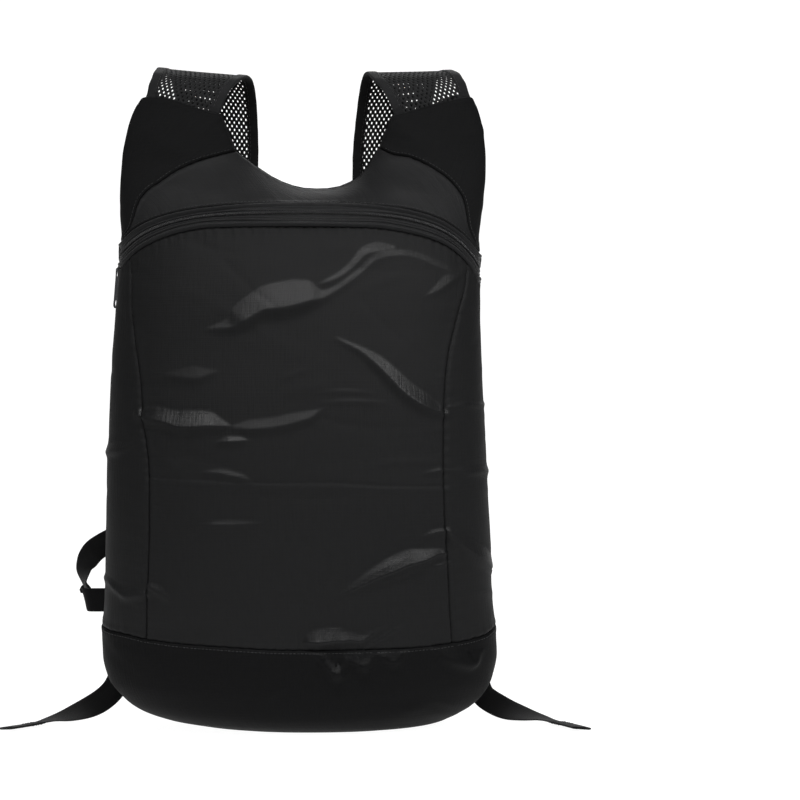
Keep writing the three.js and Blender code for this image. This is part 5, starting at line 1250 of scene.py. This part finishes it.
# ---------------------------------------------------------------- materials
class Look:
    """A material made of nodes. uv gives millimetres on the cloth, or the object's own millimetres."""

    def __init__(self, name, on_cloth_uv=True):
        self.m = bpy.data.materials.new(name)
        self.m.use_nodes = True
        self.nt = self.m.node_tree
        self.nt.nodes.clear()
        out = self.nt.nodes.new("ShaderNodeOutputMaterial")
        self.b = self.nt.nodes.new("ShaderNodeBsdfPrincipled")
        self.nt.links.new(self.b.outputs["BSDF"], out.inputs["Surface"])
        if on_cloth_uv:
            n = self.nt.nodes.new("ShaderNodeUVMap")
            n.uv_map = "cloth"
            base = n.outputs["UV"]
        else:
            base = self.nt.nodes.new("ShaderNodeTexCoord").outputs["Object"]
        mm = self.nt.nodes.new("ShaderNodeVectorMath")
        mm.operation = "SCALE"
        self.nt.links.new(base, mm.inputs[0])
        mm.inputs["Scale"].default_value = 1000.0
        self.p = mm.outputs[0]
        sep = self.nt.nodes.new("ShaderNodeSeparateXYZ")
        self.nt.links.new(self.p, sep.inputs[0])
        self.u, self.v, self.w = sep.outputs[0], sep.outputs[1], sep.outputs[2]

    def put(self, value, socket):
        if isinstance(value, (int, float)):
            socket.default_value = value
        else:
            self.nt.links.new(value, socket)

    def math(self, op, a, b=0.0, c=0.0, clamp=False):
        n = self.nt.nodes.new("ShaderNodeMath")
        n.operation, n.use_clamp = op, clamp
        for value, socket in zip((a, b, c), n.inputs):
            self.put(value, socket)
        return n.outputs[0]

    def add(self, *terms):
        out = terms[0]
        for t in terms[1:]:
            out = self.math("ADD", out, t)
        return out

    def mul(self, a, b):
        return self.math("MULTIPLY", a, b)

    def wave(self, x, pitch, phase=0.0):
        """0 to 1, one hump a pitch."""
        s = self.math("SINE", self.math("MULTIPLY_ADD", x, 2 * math.pi / pitch, phase))
        return self.math("MULTIPLY_ADD", s, 0.5, 0.5)

    def line(self, x, pitch, width):
        """1 on lines every pitch mm, of that width, else 0."""
        f = self.math("PINGPONG", x, pitch / 2)
        n = self.nt.nodes.new("ShaderNodeMapRange")
        n.interpolation_type = "SMOOTHSTEP"
        self.nt.links.new(f, n.inputs["Value"])
        n.inputs["From Min"].default_value = width * 0.15
        n.inputs["From Max"].default_value = width * 0.9
        n.inputs["To Min"].default_value = 1.0
        n.inputs["To Max"].default_value = 0.0
        return n.outputs["Result"]

    def noise(self, su, sv, detail=3.0, rough=0.55, seed=0.0):
        """Noise over the cloth, su and sv cells a millimetre each way."""
        c = self.nt.nodes.new("ShaderNodeCombineXYZ")
        self.put(self.math("MULTIPLY", self.u, su), c.inputs[0])
        self.put(self.math("MULTIPLY", self.v, sv), c.inputs[1])
        self.put(self.math("MULTIPLY_ADD", self.w, sv, seed), c.inputs[2])
        n = self.nt.nodes.new("ShaderNodeTexNoise")
        n.inputs["Scale"].default_value = 1.0
        n.inputs["Detail"].default_value = detail
        n.inputs["Roughness"].default_value = rough
        self.nt.links.new(c.outputs[0], n.inputs["Vector"])
        return n.outputs["Fac"]

    def colour(self, factor, dark, light):
        n = self.nt.nodes.new("ShaderNodeValToRGB")
        n.color_ramp.elements[0].position, n.color_ramp.elements[1].position = 0.25, 0.78
        n.color_ramp.elements[0].color, n.color_ramp.elements[1].color = (*dark, 1), (*light, 1)
        self.put(factor, n.inputs[0])
        self.nt.links.new(n.outputs[0], self.b.inputs["Base Color"])

    def rough(self, factor, low, high):
        n = self.nt.nodes.new("ShaderNodeMapRange")
        self.put(factor, n.inputs["Value"])
        n.inputs["To Min"].default_value, n.inputs["To Max"].default_value = low, high
        self.nt.links.new(n.outputs["Result"], self.b.inputs["Roughness"])

    def bump(self, height, deep_mm, strength=1.0):
        n = self.nt.nodes.new("ShaderNodeBump")
        n.inputs["Strength"].default_value = strength
        n.inputs["Distance"].default_value = deep_mm / 1000
        self.put(height, n.inputs["Height"])
        self.nt.links.new(n.outputs["Normal"], self.b.inputs["Normal"])

    def set(self, **sockets):
        for k, v in sockets.items():
            self.b.inputs[k.replace("_", " ")].default_value = v
        return self.m


def nylon(name, dark, light, low, high, smooth_rough, spec, grid=3.2, deep=0.10):
    k = Look(name)
    rip = k.math("MAXIMUM", k.line(k.u, grid, 0.36), k.line(k.v, grid, 0.36))
    weave = k.mul(k.wave(k.u, 0.46), k.wave(k.v, 0.46))
    warp = k.noise(0.50, 0.050, 2.5, seed=9.0)
    weft = k.noise(0.035, 0.75, 2.0, seed=2.0)
    soft = k.noise(0.16, 0.22, 4.0, 0.6, seed=3.0)
    at = k.nt.nodes.new("ShaderNodeAttribute")
    at.attribute_type, at.attribute_name = "GEOMETRY", "gloss_and_painted_light"
    k.colour(k.add(k.mul(warp, 0.35), k.mul(weft, 0.25), k.mul(soft, 0.3), k.mul(rip, 0.10)), dark, light)
    plain = k.add(k.mul(warp, 0.35), k.mul(weft, 0.25), k.mul(soft, 0.4))
    plain = k.math("MULTIPLY_ADD", plain, high - low, low)
    creased = k.math("MULTIPLY_ADD", warp, 0.16, smooth_rough - 0.08)
    mixed = k.nt.nodes.new("ShaderNodeMix")
    k.put(at.outputs["Fac"], mixed.inputs["Factor"])
    k.put(plain, mixed.inputs["A"])
    k.put(creased, mixed.inputs["B"])
    k.nt.links.new(mixed.outputs["Result"], k.b.inputs["Roughness"])
    k.bump(k.add(k.mul(rip, 0.30), k.mul(weave, 0.20), k.mul(warp, 2.6), k.mul(weft, 0.9), k.mul(soft, 0.7)), deep)
    return k.set(Specular_IOR_Level=spec, IOR=1.5)


NYLON = nylon("nylon_cloth", (0.0026, 0.0027, 0.0029), (0.0068, 0.0069, 0.0073), 0.60, 0.74, 0.37, 0.18)
# Painted shade: the base's copy of the nylon has darker colours, for the low base that faces down, away from the light.
BASE_NYLON_PAINTED_SHADE = nylon("nylon_base_painted_shade", (0.0012, 0.0012, 0.0014), (0.0038, 0.0039, 0.0042), 0.62, 0.78, 0.36, 0.10, deep=0.11)
# Painted light: the yoke's copy of the nylon has lighter colours, for the yoke that leans back towards the light above.
YOKE_NYLON_PAINTED_LIGHT = nylon("nylon_yoke_painted_light", (0.0044, 0.0045, 0.0049), (0.0110, 0.0112, 0.0118), 0.56, 0.70, 0.37, 0.20)
# The wings' copy is rougher, and a little darker in colour as a painted shade.
WING_NYLON_PAINTED_SHADE = nylon("nylon_wing_painted_shade", (0.0024, 0.0025, 0.0027), (0.0066, 0.0067, 0.0071), 0.74, 0.88, 0.50, 0.14)


def ribbed(name, dark, light, pitch_u, pitch_v, low, high, spec, deep=0.12, twill=0.0, under=None):
    k = Look(name)
    ribs = k.wave(k.math("MULTIPLY_ADD", k.v, twill, k.u), pitch_u)
    cols = k.wave(k.v, pitch_v)
    yarn = k.noise(1.2, 2.4, 3.0, seed=5.0)
    soft = k.noise(0.12, 0.12, 3.0, seed=1.0)
    h = k.add(k.mul(k.mul(ribs, k.math("MULTIPLY_ADD", cols, 0.5, 0.5)), 1.0), k.mul(yarn, 0.5))
    tone = k.add(k.mul(h, 0.5), k.mul(soft, 0.35))
    k.colour(tone, dark, light)
    # Painted shade: with under given, the face marked as turned from the light takes the darker under colours, a shaded
    # copy of the same yarn.
    if under:
        at = k.nt.nodes.new("ShaderNodeAttribute")
        at.attribute_type, at.attribute_name = "GEOMETRY", "gloss_and_painted_light"
        top = k.b.inputs["Base Color"].links[0].from_socket
        k.colour(tone, *under)
        painted_shade_side = k.b.inputs["Base Color"].links[0].from_socket
        both = k.nt.nodes.new("ShaderNodeMix")
        both.data_type = "RGBA"
        k.put(at.outputs["Fac"], both.inputs["Factor"])
        k.put(painted_shade_side, both.inputs[6])
        k.put(top, both.inputs[7])
        k.nt.links.new(both.outputs[2], k.b.inputs["Base Color"])
    k.rough(k.add(k.mul(yarn, 0.6), k.mul(soft, 0.4)), low, high)
    k.bump(h, deep)
    return k.set(Specular_IOR_Level=spec, IOR=1.5, Sheen_Weight=0.06, Sheen_Roughness=0.5)


# The mesh and binding tapes carry painted shade: their far faces take the near-black under colours.
MESH = ribbed("mesh_yarn", (0.0070, 0.0071, 0.0076), (0.0215, 0.0218, 0.0229), 0.62, 0.9, 0.56, 0.76, 0.16, 0.10, under=((0.0008, 0.0008, 0.0009), (0.0030, 0.0030, 0.0033)))
BINDING = ribbed("binding_tape", (0.0060, 0.0061, 0.0066), (0.019, 0.0193, 0.0204), 0.62, 1.15, 0.56, 0.74, 0.15, 0.12, under=((0.0008, 0.0008, 0.0009), (0.0030, 0.0030, 0.0033)))
TAPE = ribbed("zip_tape_weave", (0.0034, 0.0035, 0.0038), (0.0125, 0.0127, 0.0136), 0.72, 0.62, 0.46, 0.62, 0.20, 0.13)
WEBBING = ribbed("webbing_weave", (0.0012, 0.0012, 0.0014), (0.0052, 0.0053, 0.0057), 0.78, 0.95, 0.60, 0.78, 0.10, 0.10, twill=0.35)
THREAD = ribbed("thread", (0.006, 0.0062, 0.0066), (0.020, 0.0203, 0.0212), 0.5, 0.5, 0.40, 0.58, 0.34, 0.06)


def moulded(name, dark, light, low, high, spec, deep, metallic=0.0, uv=False):
    k = Look(name, uv)
    grain = k.noise(2.2, 2.2, 4.0)
    wear = k.noise(0.25, 0.3, 3.0, seed=4.0)
    k.colour(k.add(k.mul(grain, 0.4), k.mul(wear, 0.6)), dark, light)
    k.rough(k.add(k.mul(grain, 0.5), k.mul(wear, 0.5)), low, high)
    k.bump(k.add(grain, k.mul(wear, 0.5)), deep)
    return k.set(Specular_IOR_Level=spec, IOR=1.5, Metallic=metallic)


TEETH = moulded("coil_plastic", (0.006, 0.006, 0.0065), (0.018, 0.018, 0.019), 0.28, 0.45, 0.45, 0.03, uv=True)
BUCKLE = moulded("buckle_plastic", (0.005, 0.005, 0.0055), (0.013, 0.013, 0.014), 0.30, 0.46, 0.42, 0.04)
METAL = moulded("painted_metal", (0.030, 0.031, 0.033), (0.085, 0.087, 0.092), 0.30, 0.46, 0.5, 0.03, metallic=0.35)

LOOKS = {
    "nylon": NYLON, "base_nylon": BASE_NYLON_PAINTED_SHADE, "strap_mesh": MESH, "binding": BINDING, "zip_tape": TAPE,
    "webbing": WEBBING, "zip_teeth": TEETH, "buckle": BUCKLE, "zip_metal": METAL,
}
SLOT_OF = {s["node"]: s["material_slot"] for s in frame["record"]["subparts"]}


def dress(ob, slot_name, look=None):
    ob.data.materials.clear()
    ob.data.materials.append(look or LOOKS[slot_name])


# The yoke and wings take the lit and shaded copies of the nylon: painted light and painted shade.
for node, ob in made.items():
    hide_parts(node)
    dress(ob, SLOT_OF[node], WING_NYLON_PAINTED_SHADE if node.startswith("wing") else YOKE_NYLON_PAINTED_LIGHT if node == "yoke_panel" else None)
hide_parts("zip_coil")
dress(teeth, "zip_teeth")
dress(coil_bed, "zip_tape")
for ob in threads:
    dress(ob, "binding", THREAD)

# ---------------------------------------------------------------- stage and light
def bowl():
    """A round white studio floor that curves up into its wall."""
    R, bend, top = 5.2, 1.6, 6.5
    prof = [(0.0, 0.0), (0.5, 0.0), (1.2, 0.0), (2.2, 0.0), (R - bend, 0.0)]
    prof += [(R - bend + bend * math.sin(t), bend - bend * math.cos(t)) for t in np.linspace(0.12, math.pi / 2, 14)]
    prof += [(R, top)]
    N = 96
    verts, faces = [], []
    for r, z in prof:
        for i in range(N):
            a = 2 * math.pi * i / N
            verts.append((r * math.cos(a), r * math.sin(a), z))
    for k_ in range(len(prof) - 1):
        for i in range(N):
            j = (i + 1) % N
            if k_ == 0:
                faces.append((i, N + i, N + j))
            else:
                faces.append((k_ * N + i, (k_ + 1) * N + i, (k_ + 1) * N + j, k_ * N + j))
    me = bpy.data.meshes.new("studio")
    me.from_pydata(verts, [], faces)
    me.polygons.foreach_set("use_smooth", np.ones(len(me.polygons), bool))
    ob = bpy.data.objects.new("studio", me)
    bpy.context.scene.collection.objects.link(ob)
    m = bpy.data.materials.new("studio_white")
    m.use_nodes = True
    nt = m.node_tree
    b = nt.nodes["Principled BSDF"]
    b.inputs["Base Color"].default_value = (0.22, 0.22, 0.22, 1)
    b.inputs["Roughness"].default_value = 0.9
    b.inputs["Specular IOR Level"].default_value = 0.0
    b.inputs["Emission Color"].default_value = (1, 1, 1, 1)
    # brightest behind the bag and under it, and dimmer on the front side of the room
    tc = nt.nodes.new("ShaderNodeTexCoord")
    sp = nt.nodes.new("ShaderNodeSeparateXYZ")
    nt.links.new(tc.outputs["Object"], sp.inputs[0])

    def calc(op, a, b=0.0, c=0.0):
        n = nt.nodes.new("ShaderNodeMath")
        n.operation = op
        for value, socket in zip((a, b, c), n.inputs):
            if isinstance(value, float):
                socket.default_value = value
            else:
                nt.links.new(value, socket)
        return n.outputs[0]

    def ramp(value, x0, x1, y0, y1):
        n = nt.nodes.new("ShaderNodeMapRange")
        n.interpolation_type = "SMOOTHSTEP"
        nt.links.new(value, n.inputs["Value"])
        for key, number in zip(("From Min", "From Max", "To Min", "To Max"), (x0, x1, y0, y1)):
            n.inputs[key].default_value = number
        return n.outputs["Result"]

    far = calc("ADD", sp.outputs[1], 2.5)
    aside = calc("ABSOLUTE", calc("MULTIPLY_ADD", far, -0.033, sp.outputs[0]))
    ratio = calc("DIVIDE", aside, calc("MAXIMUM", calc("MULTIPLY", far, 0.17), 0.05))
    glow = calc("MULTIPLY", ramp(sp.outputs[1], -1.0, -0.33, 0.0, 1.0), ramp(ratio, 0.95, 2.3, 1.0, 0.0))
    nt.links.new(calc("MULTIPLY_ADD", glow, 0.80, 0.18), b.inputs["Emission Strength"])
    me.materials.append(m)
    return ob


bowl()


def softbox(name, at, to, wide, tall, power):
    l = bpy.data.lights.new(name, "AREA")
    l.shape, l.size, l.size_y, l.energy = "RECTANGLE", wide, tall, power
    o = bpy.data.objects.new(name, l)
    bpy.context.scene.collection.objects.link(o)
    o.location = Vector(at)
    o.rotation_euler = (Vector(to) - Vector(at)).to_track_quat("-Z", "Y").to_euler()
    return o


softbox("key", (0.0, -1.25, 2.20), (0, -0.05, 0.27), 1.5, 0.34, 31)
softbox("side_left", (-2.3, -0.9, 1.1), (0, 0, 0.25), 0.4, 1.0, 3)
softbox("side_right", (2.3, -0.9, 1.1), (0, 0, 0.25), 0.4, 1.0, 3)
softbox("back_top", (0.2, 1.9, 2.0), (0, 0, 0.3), 1.0, 0.6, 14)


def spot(name, at, to, degrees, radius, power):
    l = bpy.data.lights.new(name, "SPOT")
    l.spot_size, l.spot_blend, l.shadow_soft_size, l.energy = math.radians(degrees), 1.0, radius, power
    o = bpy.data.objects.new(name, l)
    bpy.context.scene.collection.objects.link(o)
    o.location = Vector(at)
    o.rotation_euler = (Vector(to) - Vector(at)).to_track_quat("-Z", "Y").to_euler()
    return o


spot("low_left", (-0.35, -1.60, 1.62), (0.08, -0.08, 0.105), 17, 0.20, 62)
spot("mid_right", (1.12, -1.42, 1.52), (0.085, -0.08, 0.30), 15, 0.16, 78)

world = bpy.data.worlds.new("world")
bpy.context.scene.world = world
world.use_nodes = True
bg = world.node_tree.nodes.get("Background") or world.node_tree.nodes.new("ShaderNodeBackground")
bg.inputs["Color"].default_value = (1, 1, 1, 1)
bg.inputs["Strength"].default_value = 0.2
bpy.context.scene.view_settings.view_transform = "Standard"
